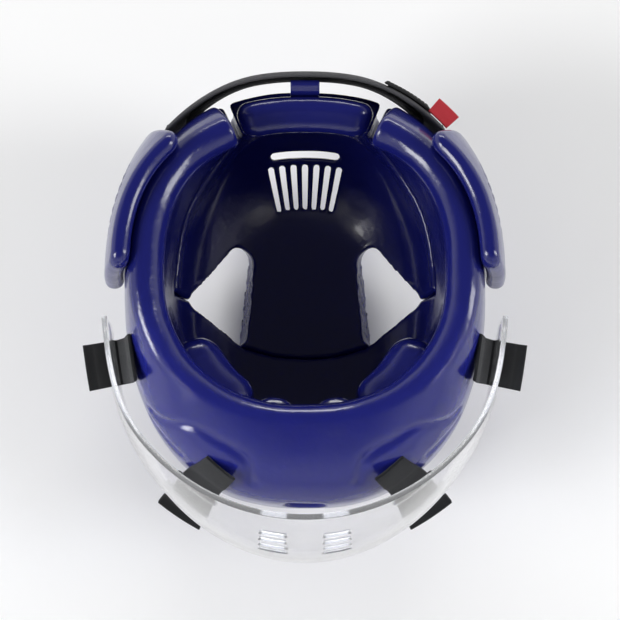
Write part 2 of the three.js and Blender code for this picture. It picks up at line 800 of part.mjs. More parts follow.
for (const [side, word] of [[-1, "left"], [1, "right"]]) {
  let pad = earPadSolid(side);
  for (const cutter of earCutters(side)) pad = pad.subtract(cutter);
  addPiece("ear_pad_" + word, pad, colours.vinyl, 0.2);
}
for (const pad of browPads) addPiece(pad.name, browPadSolid(pad), colours.vinyl, 0.2);
addPiece("face_shield", shieldSolid(), colours.clear, 0.05, { transparent: true, opacity: 0.3 });
for (const { name, angle } of shieldStraps) addPiece(name, strapSolid(angle), colours.webbing, 0.85);
addPiece(
  "rear_elastic_strap",
  elasticSolid(elastic.fromAngle, elastic.toAngle, 0, elastic.thickness, 1),
  colours.knit,
  0.9,
);
addPiece(
  "strap_end_patch",
  elasticSolid(patch.fromAngle, patch.toAngle, elastic.thickness + patch.gap, patch.thickness, 0.97),
  colours.webbing,
  0.9,
);

addPiece(
  "inner_strap",
  elasticSolid(
    180 - innerStrap.halfAngle,
    180 + innerStrap.halfAngle,
    -innerStrap.gap - innerStrap.thickness,
    innerStrap.thickness,
    innerStrap.widthShare,
  ),
  colours.webbing,
  0.9,
);
addPiece("back_tab", tabSolid(), colours.vinyl, 0.2);
addPiece("side_tag", tagSolid(), colours.tag, 0.7);

head.rotation.x = rad(rest.lean);
const part = new THREE.Group();
part.add(head);
part.updateMatrixWorld(true);
const box = new THREE.Box3().setFromObject(part, true);
part.position.set(-(box.min.x + box.max.x) / 2, -(box.min.y + box.max.y) / 2, -box.min.z);

export default part;
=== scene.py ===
"""Taekwondo headgear with a clear face shield, lying on its crown on a pale floor.

Foam pieces are level sets of a distance field written in the shell's own coordinates, so that
every edge is rounded as dipped foam is. The sheet, straps and elastic are grids of two parameters.
Lengths are millimetres in head axes, the same as in the CAD part, until Axes turns them to the row
frame: +X across, -Y to the face, +Z out of the opening, with Z = 0 at the rim.
"""

import logging
import math
from dataclasses import dataclass, fields
from enum import Enum
from typing import Callable, Sequence

import bpy
import numpy as np
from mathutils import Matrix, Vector


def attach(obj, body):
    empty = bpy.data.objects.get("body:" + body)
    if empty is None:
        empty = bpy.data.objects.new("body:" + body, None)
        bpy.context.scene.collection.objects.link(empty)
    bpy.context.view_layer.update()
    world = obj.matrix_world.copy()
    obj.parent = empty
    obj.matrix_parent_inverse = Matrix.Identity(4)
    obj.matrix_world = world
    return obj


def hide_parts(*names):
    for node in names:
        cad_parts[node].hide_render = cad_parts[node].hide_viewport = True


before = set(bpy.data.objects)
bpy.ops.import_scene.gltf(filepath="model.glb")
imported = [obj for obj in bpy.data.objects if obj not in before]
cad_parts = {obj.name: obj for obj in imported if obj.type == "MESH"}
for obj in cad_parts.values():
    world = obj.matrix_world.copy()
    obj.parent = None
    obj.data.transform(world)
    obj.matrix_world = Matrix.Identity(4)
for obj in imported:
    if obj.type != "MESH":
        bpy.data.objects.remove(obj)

log = logging.getLogger("headgear")

Array = np.ndarray
Field = Callable[[Array], Array]
MM = 0.001


def clamp_step(value: Array, low: float, high: float) -> Array:
    """Smooth step from 0 at low to 1 at high.

    Args:
        value: Values to step.
        low: Where the step starts.
        high: Where it ends.

    Returns:
        The stepped values.
    """
    share = np.clip((value - low) / (high - low), 0.0, 1.0)
    return share * share * (3.0 - 2.0 * share)


def mix(a: Array, b: Array, share: Array) -> Array:
    """Linear blend from a to b."""
    return a + (b - a) * share


def unit(vectors: Array) -> Array:
    """Vectors scaled to length one, along the last axis."""
    return vectors / np.maximum(np.linalg.norm(vectors, axis=-1, keepdims=True), 1e-9)


@dataclass(frozen=True)
class Axes:
    """Turn from head axes to the row frame.

    Attributes:
        lean_deg: Lean towards the face at which the crown lies level.
        origin_mm: Rim centre in the row frame.
    """

    lean_deg: float = 5.0
    origin_mm: tuple[float, float, float] = (0.0, 13.93, 160.73)

    def to_row(self, points: Array) -> Array:
        """Points in head axes, mm, as row-frame points in mm."""
        c, s = math.cos(math.radians(self.lean_deg)), math.sin(math.radians(self.lean_deg))
        turn = np.array([[1.0, 0.0, 0.0], [0.0, c, s], [0.0, -s, c]])
        return points @ turn + np.array(self.origin_mm)


AXES = Axes()


# Meshes.


def new_object(name: str, points_mm: Array, faces: Array, parts: Array | None = None) -> bpy.types.Object:
    """Mesh object from head-axes points and polygons of one size.

    Args:
        name: Object name.
        points_mm: Points, N by 3.
        faces: Polygons, M by 3 or M by 4.
        parts: Material index of each polygon, or None for one material.

    Returns:
        The linked object, at the origin and unturned.
    """
    mesh = bpy.data.meshes.new(name)
    rows = (AXES.to_row(points_mm) * MM).astype(np.float32)
    size = faces.shape[1]
    mesh.vertices.add(len(rows))
    mesh.vertices.foreach_set("co", rows.ravel())
    mesh.loops.add(faces.size)
    mesh.loops.foreach_set("vertex_index", faces.astype(np.int32).ravel())
    mesh.polygons.add(len(faces))
    mesh.polygons.foreach_set("loop_start", np.arange(0, faces.size, size, dtype=np.int32))
    mesh.polygons.foreach_set("use_smooth", np.ones(len(faces), dtype=bool))
    if parts is not None:
        mesh.polygons.foreach_set("material_index", parts.astype(np.int32))
    mesh.update(calc_edges=True)
    mesh.validate()
    made = bpy.data.objects.new(name, mesh)
    bpy.context.scene.collection.objects.link(made)
    return made


def set_uv(obj: bpy.types.Object, per_vertex: Array) -> None:
    """Gives each corner its vertex's texture place, in mm.

    Args:
        obj: Mesh object.
        per_vertex: N by 2 values.
    """
    layer = obj.data.uv_layers.new(name="mm")
    index = np.empty(len(obj.data.loops), dtype=np.int32)
    obj.data.loops.foreach_get("vertex_index", index)
    layer.data.foreach_set("uv", per_vertex[index].astype(np.float32).ravel())


def slab_grid(nu: int, nv: int) -> tuple[Array, Array, Array, Array]:
    """Parameters and quads of a closed slab over a grid.

    Args:
        nu: Steps across.
        nv: Steps along.

    Returns:
        u, v and side of every point, with side 1 on the front and -1 on the back, and the quads.
    """
    u, v = np.meshgrid(np.linspace(-1, 1, nu + 1), np.linspace(-1, 1, nv + 1), indexing="ij")
    number = np.arange((nu + 1) * (nv + 1)).reshape(nu + 1, nv + 1)
    count = number.size
    a, b, c, d = number[:-1, :-1], number[1:, :-1], number[1:, 1:], number[:-1, 1:]
    front = np.stack([a, b, c, d], -1).reshape(-1, 4)
    rim = np.concatenate([number[:, 0], number[-1, 1:], number[-2::-1, -1], number[0, -2:0:-1]])
    after = np.roll(rim, -1)
    wall = np.stack([after, rim, rim + count, after + count], -1)
    quads = np.concatenate([front, front[:, ::-1] + count, wall])
    side = np.repeat([1.0, -1.0], count)
    return np.tile(u.ravel(), 2), np.tile(v.ravel(), 2), side, quads


def face_out(points: Array, faces: Array) -> Array:
    """Faces wound so that the closed mesh has a positive volume."""
    a, b, c = points[faces[:, 0]], points[faces[:, 1]], points[faces[:, 2]]
    volume = np.einsum("ij,ij->i", a, np.cross(b, c)).sum()
    if faces.shape[1] == 4:
        volume += np.einsum("ij,ij->i", a, np.cross(c, points[faces[:, 3]])).sum()
    return faces if volume > 0 else faces[:, ::-1]


# Level sets.


def round_meet(a: Array, b: Array, radius: float) -> Array:
    """Distance field of the overlap of two bodies, with the edge between them rounded.

    Args:
        a: Field of the first body, negative inside.
        b: Field of the second.
        radius: Radius of the edge.

    Returns:
        The joined field.
    """
    u, v = np.maximum(radius + a, 0.0), np.maximum(radius + b, 0.0)
    return np.minimum(-radius, np.maximum(a, b)) + np.hypot(u, v)


def soft_box(x: Array, y: Array, half_x: float | Array, half_y: float | Array, radius: float) -> Array:
    """Distance from a flat rectangle with rounded corners, negative inside."""
    u, v = np.abs(x) - half_x + radius, np.abs(y) - half_y + radius
    return np.hypot(np.maximum(u, 0), np.maximum(v, 0)) + np.minimum(np.maximum(u, v), 0) - radius


CORNERS = np.array([[x, y, z] for x in (0, 1) for y in (0, 1) for z in (0, 1)])
EDGES = [(a, b) for a in range(8) for b in range(a + 1, 8) if abs(CORNERS[a] - CORNERS[b]).sum() == 1]


def surface_net(field: Field, low: Array, high: Array, pitch: float) -> tuple[Array, Array]:
    """Closed quad mesh of a field's zero surface, with every point then moved onto it.

    The field is read on a cubic lattice. Each cell that the surface crosses holds one point, the
    mean of the crossings on its edges, and each crossed lattice edge gives a quad of the four
    cells round it. Two Newton steps along the field's slope seat the points on the surface.

    Args:
        field: Field of N by 3 points, negative inside.
        low: Lowest corner of the lattice.
        high: Highest corner.
        pitch: Lattice spacing.

    Returns:
        Points and quads.
    """
    axes = [np.arange(low[i], high[i] + pitch, pitch) for i in range(3)]
    lattice = np.stack(np.meshgrid(*axes, indexing="ij"), -1)
    flat = lattice.reshape(-1, 3)
    values = np.concatenate([field(part) for part in np.array_split(flat, max(1, len(flat) // 400000))])
    values = values.reshape(lattice.shape[:3])
    inside = values < 0
    size = np.array(inside.shape) - 1
    shifts = [tuple(slice(c[i], c[i] + size[i]) for i in range(3)) for c in CORNERS]
    total = sum(inside[s].astype(np.int8) for s in shifts)
    active = (total > 0) & (total < 8)
    cells = np.argwhere(active)
    number = np.full(active.shape, -1)
    number[active] = np.arange(len(cells))
    at = np.stack([values[s][active] for s in shifts], -1)
    mean = np.zeros((len(cells), 3))
    crossings = np.zeros(len(cells))
    for a, b in EDGES:
        crossed = (at[:, a] < 0) != (at[:, b] < 0)
        share = np.where(crossed, at[:, a] / np.where(crossed, at[:, a] - at[:, b], 1.0), 0.0)
        mean += crossed[:, None] * (CORNERS[a] + share[:, None] * (CORNERS[b] - CORNERS[a]))
        crossings += crossed
    points = np.array([axis[0] for axis in axes]) + pitch * (cells + mean / crossings[:, None])
    quads = []
    for axis in range(3):
        u, v = np.eye(3, dtype=int)[(axis + 1) % 3], np.eye(3, dtype=int)[(axis + 2) % 3]
        first = inside[tuple(slice(0, -1) if i == axis else slice(1, -1) for i in range(3))]
        second = inside[tuple(slice(1, None) if i == axis else slice(1, -1) for i in range(3))]
        for outwards, crossed in ((True, first & ~second), (False, ~first & second)):
            base = np.argwhere(crossed) + 1 - np.eye(3, dtype=int)[axis]
            ring = [base, base - u, base - u - v, base - v]
            corner = np.stack([number[tuple(r.T)] for r in ring], -1)
            quads.append(corner if outwards else corner[:, ::-1])
    return seat(field, points, pitch), np.concatenate(quads)


def seat(field: Field, points: Array, pitch: float, steps: int = 2) -> Array:
    """Points moved onto the field's zero surface by Newton steps of at most half the pitch."""
    reach = 0.05
    for _ in range(steps):
        value = field(points)
        slope = np.stack([(field(points + reach * e) - value) / reach for e in np.eye(3)], -1)
        size = np.maximum((slope**2).sum(-1), 0.3)
        move = -value[:, None] * slope / size[:, None]
        length = np.maximum(np.linalg.norm(move, axis=-1, keepdims=True), 1e-9)
        points = points + move * np.minimum(1.0, 0.5 * pitch / length)
    return points


# The padded shell.


@dataclass(frozen=True)
class Place:
    """Where points lie against the shell.

    Attributes:
        azimuth: Angle round the shell from the face.
        polar: Angle from straight down at the crown.
        radius: Distance from the shell's centre.
        depth: Depth below the outer face, negative above it.
        ray: Unit vector from the centre.
        foot_azimuth: Azimuth of the nearest point of the outer face.
        foot_polar: Its polar angle.
        spread: Length along the outer face for each radian of polar angle.
    """

    azimuth: Array
    polar: Array
    radius: Array
    depth: Array
    ray: Array
    foot_azimuth: Array
    foot_polar: Array
    spread: Array

    def pick(self, chosen: Array) -> "Place":
        """The places of some of the points."""
        return Place(*(getattr(self, part.name)[chosen] for part in fields(self)))


@dataclass(frozen=True)
class ShellForm:
    """The outer face, rim and wall of the padded shell, as the CAD part has them."""

    side: float = 104.0
    front: float = 127.0
    back: float = 119.0
    equator: float = 62.0
    crown_depth: float = 99.0
    plan_power: float = 2.35
    crown_power: float = 2.4
    rim_side: float = 94.0
    rim_front: float = 75.0
    rim_back: float = 86.0
    rim_front_z: float = -16.0
    rim_side_z: float = 6.0
    rim_back_z: float = 0.0
    pad: float = 20.0
    crown: float = 14.0
    thin_back: float = 10.0
    brow: float = 41.0

    def reach(self, azimuth: Array, side: float, front: float, back: float) -> Array:
        """Reach of a rounded plan outline at an azimuth."""
        across = np.abs(np.sin(azimuth)) / side
        along = np.abs(np.cos(azimuth)) / np.where(np.cos(azimuth) > 0, front, back)
        return (across**self.plan_power + along**self.plan_power) ** (-1 / self.plan_power)

    def shell_reach(self, azimuth: Array) -> Array:
        """Reach of the shell's widest outline."""
        return self.reach(azimuth, self.side, self.front, self.back)

    def rim_rise(self, azimuth: Array) -> Array:
        """Height of the rim above the widest outline."""
        end = np.where(np.cos(azimuth) > 0, self.rim_front_z, self.rim_back_z)
        return mix(self.rim_side_z, end, np.cos(azimuth) ** 2) + self.equator

    def rim_polar(self, azimuth: Array) -> Array:
        """Polar angle of the rim."""
        return np.pi / 2 + np.arctan2(
            self.rim_rise(azimuth), self.reach(azimuth, self.rim_side, self.rim_front, self.rim_back)
        )

    def outer_radius(self, azimuth: Array, polar: Array) -> Array:
        """Distance of the outer face from the centre.

        It is a superellipse in the plane of the azimuth: below the widest outline its depth is
        crown_depth, and above it the depth is the one that makes the curve pass through the rim.
        """
        reach = self.shell_reach(azimuth)
        below = polar < np.pi / 2
        power = np.where(below, self.crown_power, self.plan_power)
        rim = self.reach(azimuth, self.rim_side, self.rim_front, self.rim_back) / reach
        upper = self.rim_rise(azimuth) / (1 - rim**self.plan_power) ** (1 / self.plan_power)
        depth = np.where(below, self.crown_depth, upper)
        level = np.abs(np.sin(polar)) / reach
        plumb = np.abs(np.cos(polar)) / depth
        return (level**power + plumb**power) ** (-1 / power)

    def outer_point(self, azimuth: Array, polar: Array) -> Array:
        """Point of the outer face."""
        r = self.outer_radius(azimuth, polar)
        flat = r * np.sin(polar)
        return np.stack(
            [flat * np.sin(azimuth), -flat * np.cos(azimuth), -r * np.cos(polar) - self.equator], -1
        )

    def outward(self, azimuth: Array, polar: Array) -> Array:
        """Unit vector out of the outer face."""
        step = 0.01
        at = np.maximum(polar, 0.03)
        rise = self.outer_point(azimuth, at + step) - self.outer_point(azimuth, at - step)
        around = self.outer_point(azimuth + step, at) - self.outer_point(azimuth - step, at)
        return unit(np.cross(around, rise))

    def shell_point(self, azimuth: Array, polar: Array, depth: Array) -> Array:
        """Point at a depth below the outer face."""
        return self.outer_point(azimuth, polar) - self.outward(azimuth, polar) * np.asarray(depth)[..., None]

    def wall(self, azimuth: Array, share: Array) -> Array:
        """Thickness of the foam at a share of the way from crown to rim."""
        behind = np.maximum(0, -np.cos(azimuth)) ** 4
        thin = mix(self.crown, self.thin_back, behind * clamp_step(share, 0.0, 0.3))
        start, end = mix(0.35, 0.66, behind), mix(0.65, 0.85, behind)
        ease = np.clip((share - start) / (end - start), 0, 1)
        side = mix(thin, self.pad, ease * ease * (3 - 2 * ease))
        facing = np.maximum(0, np.cos(azimuth)) ** 1.5
        height = clamp_step(share, 0.35, 0.7) * (1 - clamp_step(share, 0.8, 1.0))
        return side + (self.brow - self.pad) * facing * height

    def share(self, azimuth: Array, polar: Array) -> Array:
        """Share of the way from the crown to the rim's edge."""
        return polar / (self.rim_polar(azimuth) - self.pad / 2 / self.side)

    def place(self, points: Array) -> Place:
        """Shell coordinates of points, with the foot found by one step along the face's slope."""
        away = points - np.array([0.0, 0.0, -self.equator])
        radius = np.maximum(np.linalg.norm(away, axis=-1), 1.0)
        polar = np.arccos(np.clip(-away[:, 2] / radius, -1, 1))
        azimuth = np.arctan2(away[:, 0], -away[:, 1])
        outer = self.outer_radius(azimuth, polar)
        step = 0.01
        above, below = (self.outer_radius(azimuth, polar + way) for way in (step, -step))
        right, left = (self.outer_radius(azimuth + way, polar) for way in (step, -step))
        climb, turn = (above - below) / (2 * step), (right - left) / (2 * step)
        climb, turn = climb / outer, turn / outer / np.maximum(np.sin(polar), 0.08)
        slope = np.sqrt(1 + climb**2 + turn**2)
        sp, cp, sa, ca = np.sin(polar), np.cos(polar), np.sin(azimuth), np.cos(azimuth)
        ray = away / radius[:, None]
        uphill = np.stack([cp * sa, -cp * ca, sp], -1)
        around = np.stack([ca, sa, np.zeros_like(sa)], -1)
        normal = (ray - climb[:, None] * uphill - turn[:, None] * around) / slope[:, None]
        depth = (outer - radius) / slope
        foot = away + normal * depth[:, None]
        reach = np.maximum(np.linalg.norm(foot, axis=-1), 1.0)
        foot_polar = np.arccos(np.clip(-foot[:, 2] / reach, -1, 1))
        foot_azimuth = np.arctan2(foot[:, 0], -foot[:, 1])
        depth = depth + (self.outer_radius(foot_azimuth, foot_polar) - reach) / slope
        spread = outer * np.sqrt(1 + climb**2)
        return Place(azimuth, polar, radius, depth, ray, foot_azimuth, foot_polar, spread)


SHELL = ShellForm()


def chart_ray(marks: Array) -> Array:
    """Unit vectors of chart marks, which are degrees of polar angle, x across and y to the back."""
    polar = np.radians(np.hypot(marks[:, 0], marks[:, 1]))
    azimuth = np.arctan2(marks[:, 0], -marks[:, 1])
    flat = np.sin(polar)
    return np.stack([flat * np.sin(azimuth), -flat * np.cos(azimuth), -np.cos(polar)], -1)


def smooth_line(marks: Sequence[tuple[float, float]], steps: int = 6) -> Array:
    """Points of a Catmull-Rom curve through marks."""
    p = np.array([2 * np.array(marks[0]) - marks[1], *marks, 2 * np.array(marks[-1]) - marks[-2]], float)
    t = np.linspace(0, 1, steps, endpoint=False)[:, None]
    parts = [
        0.5 * (2 * b + (c - a) * t + (2 * a - 5 * b + 4 * c - d) * t**2 + (3 * b - a - 3 * c + d) * t**3)
        for a, b, c, d in zip(p[:-3], p[1:-2], p[2:-1], p[3:])
    ]
    return np.concatenate([*parts, p[-2:-1]])


def rounded_outline(corners: Sequence[tuple[float, float]], radius: float) -> Array:
    """Closed outline with each corner replaced by a quadratic arc."""
    marks = np.array(corners, float)
    out = []
    for i, here in enumerate(marks):
        before, after = marks[i - 1] - here, marks[(i + 1) % len(marks)] - here
        reach = min(radius, np.linalg.norm(before) / 2.2, np.linalg.norm(after) / 2.2)
        start, end = here + unit(before) * reach, here + unit(after) * reach
        for t in np.linspace(0, 1, 7):
            out.append((1 - t) ** 2 * start + 2 * t * (1 - t) * here + t**2 * end)
    return np.array(out)


def line_distance(ray: Array, line: Array, weights: Array | None = None) -> tuple[Array, Array]:
    """Distance on the unit sphere from rays to a line of unit vectors.

    Args:
        ray: N by 3 unit vectors.
        line: M by 3 unit vectors.
        weights: A value at each mark of the line, or None.

    Returns:
        The distance, and the value at the nearest point of the line.
    """
    best = np.full(len(ray), 9.0)
    value = np.zeros(len(ray))
    weights = np.zeros(len(line)) if weights is None else weights
    for a, b, wa, wb in zip(line[:-1], line[1:], weights[:-1], weights[1:]):
        along = b - a
        share = np.clip(((ray - a) @ along) / max(float(along @ along), 1e-12), 0, 1)
        gap = ((ray - a - share[:, None] * along) ** 2).sum(-1)
        nearer = gap < best
        best = np.where(nearer, gap, best)
        value = np.where(nearer, wa + (wb - wa) * share, value)
    return np.sqrt(best), value


def in_outline(marks: Array, outline: Array) -> Array:
    """Whether chart marks lie in a closed outline, by counting crossings."""
    hit = np.zeros(len(marks), dtype=bool)
    x, y = marks[:, 0], marks[:, 1]
    for (ax, ay), (bx, by) in zip(outline, np.roll(outline, -1, axis=0)):
        if ay == by:
            continue
        hit ^= ((ay > y) != (by > y)) & (x < (bx - ax) * (y - ay) / (by - ay) + ax)
    return hit


def chart(azimuth: Array, polar: Array) -> Array:
    """Chart marks of angles."""
    degrees = np.degrees(polar)
    return np.stack([degrees * np.sin(azimuth), -degrees * np.cos(azimuth)], -1)


def chart_of(place: Place) -> Array:
    """Chart marks of places."""
    return chart(place.azimuth, place.polar)


def angle_apart(a: Array, b: float) -> Array:
    """Difference of two angles, from -pi to pi."""
    return (a - b + np.pi) % (2 * np.pi) - np.pi


@dataclass(frozen=True)
class FoamCuts:
    """Lines and openings of the foam body, as chart marks in degrees and sizes in mm."""

    hole: tuple = ((-24.7, -11.5), (-51, 5.5), (-27.5, 30), (-20.5, 26))
    hole_radius: float = 5.0
    crease: tuple = ((-24.7, -11.5), (-12, -14.6), (0, -15.6))
    seam: tuple = ((-50, 5.6), (-24.7, -11.5))
    slit: tuple = (
        (-61.6, 5.8),
        (-61.5, 14.7),
        (-55.5, 43.3),
        (-33.5, 74.6),
        (-41, 93),
        (-53, 118),
        (-62, 138),
    )
    seam_width: float = 0.5
    slit_widths: tuple[float, float] = (2.2, 5.0)
    edge: float = 2.6
    vent_count: int = 7
    vent_pitch: float = 6.4
    vent_width: float = 3.4
    vent_polars: tuple[float, float] = (39.5, 56.5)
    slot_polars: tuple[float, float] = (59.2, 62.4)
    slot_width: float = 42.0
    slant: float = 3.6
    neck_half_deg: float = 27.0
    neck_polar: float = 96.7


class FoamBody:
    """The band and the crown flap, which are one dipped shell split by slits and a crease."""

    def __init__(self, cuts: FoamCuts) -> None:
        self.cuts = cuts
        half = smooth_line(cuts.slit)[::-1]
        half = np.concatenate([half[:-1], np.array(cuts.seam)[:-1], smooth_line(cuts.crease)])
        widths = np.concatenate(
            [
                np.linspace(cuts.slit_widths[1], cuts.slit_widths[0], len(smooth_line(cuts.slit)) - 1),
                np.full(len(half) - len(smooth_line(cuts.slit)) + 1, cuts.seam_width),
            ]
        )
        self.outline = np.concatenate([half, (half * [-1, 1])[-2::-1]])
        self.widths = np.concatenate([widths, widths[-2::-1]])
        self.rays = chart_ray(self.outline)
        left = rounded_outline(cuts.hole, cuts.hole_radius)
        self.holes = [left, (left * [-1, 1])[::-1]]

    def shell(self, p: Place) -> Array:
        """The uncut shell: a slab below the outer face that ends in a round rim."""
        wall = SHELL.wall(p.foot_azimuth, SHELL.share(p.foot_azimuth, p.foot_polar))
        slab = np.abs(p.depth - wall / 2) - wall / 2
        edge = SHELL.rim_polar(p.foot_azimuth) - SHELL.pad / 2 / SHELL.side
        beyond = (p.foot_polar - edge) * p.spread - SHELL.pad / 2
        return round_meet(slab, beyond, SHELL.pad / 2)

    def ripple(self, points: Array) -> Array:
        """Slow unevenness of dipped foam, a sum of three waves."""
        x, y, z = points.T
        wave = np.sin(x / 9.1 + 0.7 * np.sin(y / 13.0)) * np.sin(y / 11.3 + z / 17.0)
        return 0.16 * wave + 0.12 * np.sin((x + y) / 15.7 + z / 8.9) + 0.07 * np.sin(x / 4.7 - z / 5.9)

    def relief(self, points: Array, p: Place) -> Array:
        """Depth in mm of the moulded lines and the recess on the outer forehead."""
        outer = 1 - clamp_step(p.depth, 4.0, 8.0)
        depth = np.zeros(len(points))
        marks_here = chart(p.foot_azimuth, p.foot_polar)
        mirrored = chart_ray(np.stack([-np.abs(marks_here[:, 0]), marks_here[:, 1]], -1))
        for marks, width, drop in FOREHEAD_LINES:
            gap, _ = line_distance(mirrored, chart_ray(smooth_line(marks)))
            depth += drop * np.exp(-((gap * 110 / width) ** 2))
        rise = (p.foot_polar - math.radians(BADGE_POLAR)) * SHELL.front
        badge = soft_box(p.foot_azimuth * SHELL.front, rise, 12.0, 6.5, 6.0)
        depth += 4.6 * (1 - clamp_step(badge, -1.6, 0.8))
        return outer * depth

    def field(self, keep_flap: bool) -> Field:
        """Field of the flap, or of the band round it."""
        cuts = self.cuts

        def measure(points: Array) -> Array:
            place = SHELL.place(points)
            out = self.shell(place)
            near = out < 4.0
            if not near.any():
                return out
            p, here = place.pick(near), points[near]
            body = out[near] + self.ripple(here)
            if not keep_flap:
                body = body + self.relief(here, p)
            floor = -AXES.to_row(here)[:, 2] + 0.02
            body = round_meet(body, floor, 1.2)
            gap, width = line_distance(p.ray, self.rays, self.widths)
            flap_side = in_outline(chart_of(p), self.outline)
            signed = np.where(flap_side, gap, -gap) * p.radius
            body = round_meet(body, width / 2 + (-signed if keep_flap else signed), cuts.edge)
            for hole in self.holes:
                closed = np.concatenate([hole, hole[:1]])
                gap, _ = line_distance(p.ray, chart_ray(closed))
                inside = in_outline(chart_of(p), hole)
                body = round_meet(body, np.where(inside, gap, -gap) * p.radius, cuts.edge)
            body = self.cut_vents(body, p) if keep_flap else self.cut_ears(body, p)
            out[near] = self.cut_neck(body, p)
            return out

        return measure

    def cut_vents(self, body: Array, p: Place) -> Array:
        """Row of plain vents and the long slot over the back, slanting up towards the inside."""
        cuts = self.cuts
        back = angle_apart(p.foot_azimuth, np.pi)
        polar = p.foot_polar - math.radians(cuts.slant) * p.depth / SHELL.thin_back
        low, high = np.radians(cuts.vent_polars)
        reach = (SHELL.back - SHELL.thin_back / 2) * math.sin((low + high) / 2)
        across = back * reach
        step = np.clip(np.round(across / cuts.vent_pitch), -(cuts.vent_count // 2), cuts.vent_count // 2)
        along = (polar - (low + high) / 2) * p.radius
        half = (high - low) / 2 * p.radius
        vents = soft_box(across - step * cuts.vent_pitch, along, cuts.vent_width / 2, half, 1.6)
        slot_low, slot_high = np.radians(cuts.slot_polars)
        slot_reach = (SHELL.back - SHELL.thin_back / 2) * math.sin(slot_low)
        tall = (slot_high - slot_low) / 2 * p.radius
        slot = soft_box(
            back * slot_reach, (polar - (slot_low + slot_high) / 2) * p.radius, cuts.slot_width / 2, tall, 2.6
        )
        return round_meet(body, -np.minimum(vents, slot), 1.0)

    def cut_ears(self, body: Array, p: Place) -> Array:
        """Ear openings through the band."""
        return round_meet(body, -ear_slots(p), 1.0)

    def cut_neck(self, body: Array, p: Place) -> Array:
        """The gap in the rim at the back, where the neck pad goes."""
        back = np.abs(angle_apart(p.azimuth, np.pi)) * p.radius * np.sin(p.polar)
        half = math.radians(self.cuts.neck_half_deg) * p.radius * np.sin(p.polar)
        above = (p.polar - math.radians(self.cuts.neck_polar)) * p.radius
        return round_meet(body, np.minimum(above, half - back), self.cuts.edge)


# Chart marks, width and depth in mm of the moulded lines on the left half of the forehead.
FOREHEAD_LINES: tuple = (
    (((-76, -66), (-65, -88), (-46, -99), (-31, -102), (-25, -98)), 2.4, 1.5),
    (((-72, -63), (-64, -74), (-56, -81)), 2.0, 1.0),
)
BADGE_POLAR = 91.0

EAR_AZIMUTH, EAR_POLAR, EAR_SLOTS, EAR_PITCH, EAR_WIDTH, EAR_HEIGHT = 111.5, 110.0, 7, 6.0, 3.2, 24.0


def ear_slots(p: Place) -> Array:
    """Lens of upright slots over each ear, negative in a slot."""
    across = (np.abs(p.foot_azimuth) - math.radians(EAR_AZIMUTH)) * SHELL.side
    step = np.clip(np.round(across / EAR_PITCH), -(EAR_SLOTS // 2), EAR_SLOTS // 2)
    half = EAR_HEIGHT / 2 * np.sqrt(1 - (step / (EAR_SLOTS / 2)) ** 2)
    along = (p.foot_polar - math.radians(EAR_POLAR)) * SHELL.side
    return soft_box(across - step * EAR_PITCH, along, EAR_WIDTH / 2, half, 1.5)


@dataclass(frozen=True)
class PadForm:
    """A foam block laid on the shell.

    Attributes:
        node: CAD node it stands for.
        azimuth: Middle, in degrees from the face.
        half: Half width in degrees.
        polars: Lowest and highest polar angle in degrees.
        depths: Lowest and highest depth in mm below the face, or below the wall's inside.
        on_wall: Whether depths count from the wall's inside.
        corner: Radius of its corners in plan.
        edge: Radius of its edges.
        fill: Fullness of the foam block, not used.
    """

    node: str
    azimuth: float
    half: float
    polars: tuple[float, float]
    depths: tuple[float, float]
    on_wall: bool = False
    corner: float = 9.0
    edge: float = 5.0
    fill: float = 0.9

    def field(self, points: Array) -> Array:
        """Distance field of the block."""
        p = SHELL.place(points)
        middle = math.radians(self.azimuth)
        flat = p.radius * np.sin(p.polar)
        x = angle_apart(p.foot_azimuth, middle) * flat
        low, high = np.radians(self.polars)
        y = (p.foot_polar - (low + high) / 2) * p.radius
        plan = soft_box(x, y, math.radians(self.half) * flat, (high - low) / 2 * p.radius, self.corner)
        share = SHELL.share(p.foot_azimuth, p.foot_polar)
        base = SHELL.wall(p.foot_azimuth, share) if self.on_wall else 0.0
        mid, thick = sum(self.depths) / 2, self.depths[1] - self.depths[0]
        body = round_meet(np.abs(p.depth - base - mid) - thick / 2, plan, self.edge)
        if self.node.startswith("ear"):
            body = round_meet(body, -ear_slots(p), 1.0)
        return body

    def bounds(self) -> tuple[Array, Array]:
        """Box round the block, for the lattice."""
        grids = np.meshgrid(np.linspace(-1.1, 1.1, 9), np.linspace(-0.1, 1.1, 9), [0, 1])
        u, v, w = (grid.ravel() for grid in grids)
        azimuth = np.radians(self.azimuth + u * self.half)
        polar = np.radians(mix(self.polars[0], self.polars[1], v))
        base = SHELL.wall(azimuth, SHELL.share(azimuth, polar)) if self.on_wall else 0.0
        points = SHELL.shell_point(azimuth, polar, base + mix(self.depths[0], self.depths[1], w))
        return points.min(0) - 4, points.max(0) + 4


PADS = (
    PadForm("occipital_pad", 180, 22, (97.4, 110.5), (4.5, 25.5), corner=10, edge=7.5),
    PadForm("ear_pad_left", -111.5, 23.5, (94.5, 125.5), (-11.5, -0.7)),
    PadForm("ear_pad_right", 111.5, 23.5, (94.5, 125.5), (-11.5, -0.7)),
    PadForm("brow_pad_left", -48, 21, (66, 102), (0.7, 24.7), True, 14, 10),
    PadForm("brow_pad_mid_left", -14, 10, (69, 99), (0.7, 20.7), True, 11, 9),
    PadForm("brow_pad_mid_right", 14, 10, (69, 99), (0.7, 20.7), True, 11, 9),
    PadForm("brow_pad_right", 48, 21, (66, 102), (0.7, 24.7), True, 14, 10),
)


# The clear sheet.


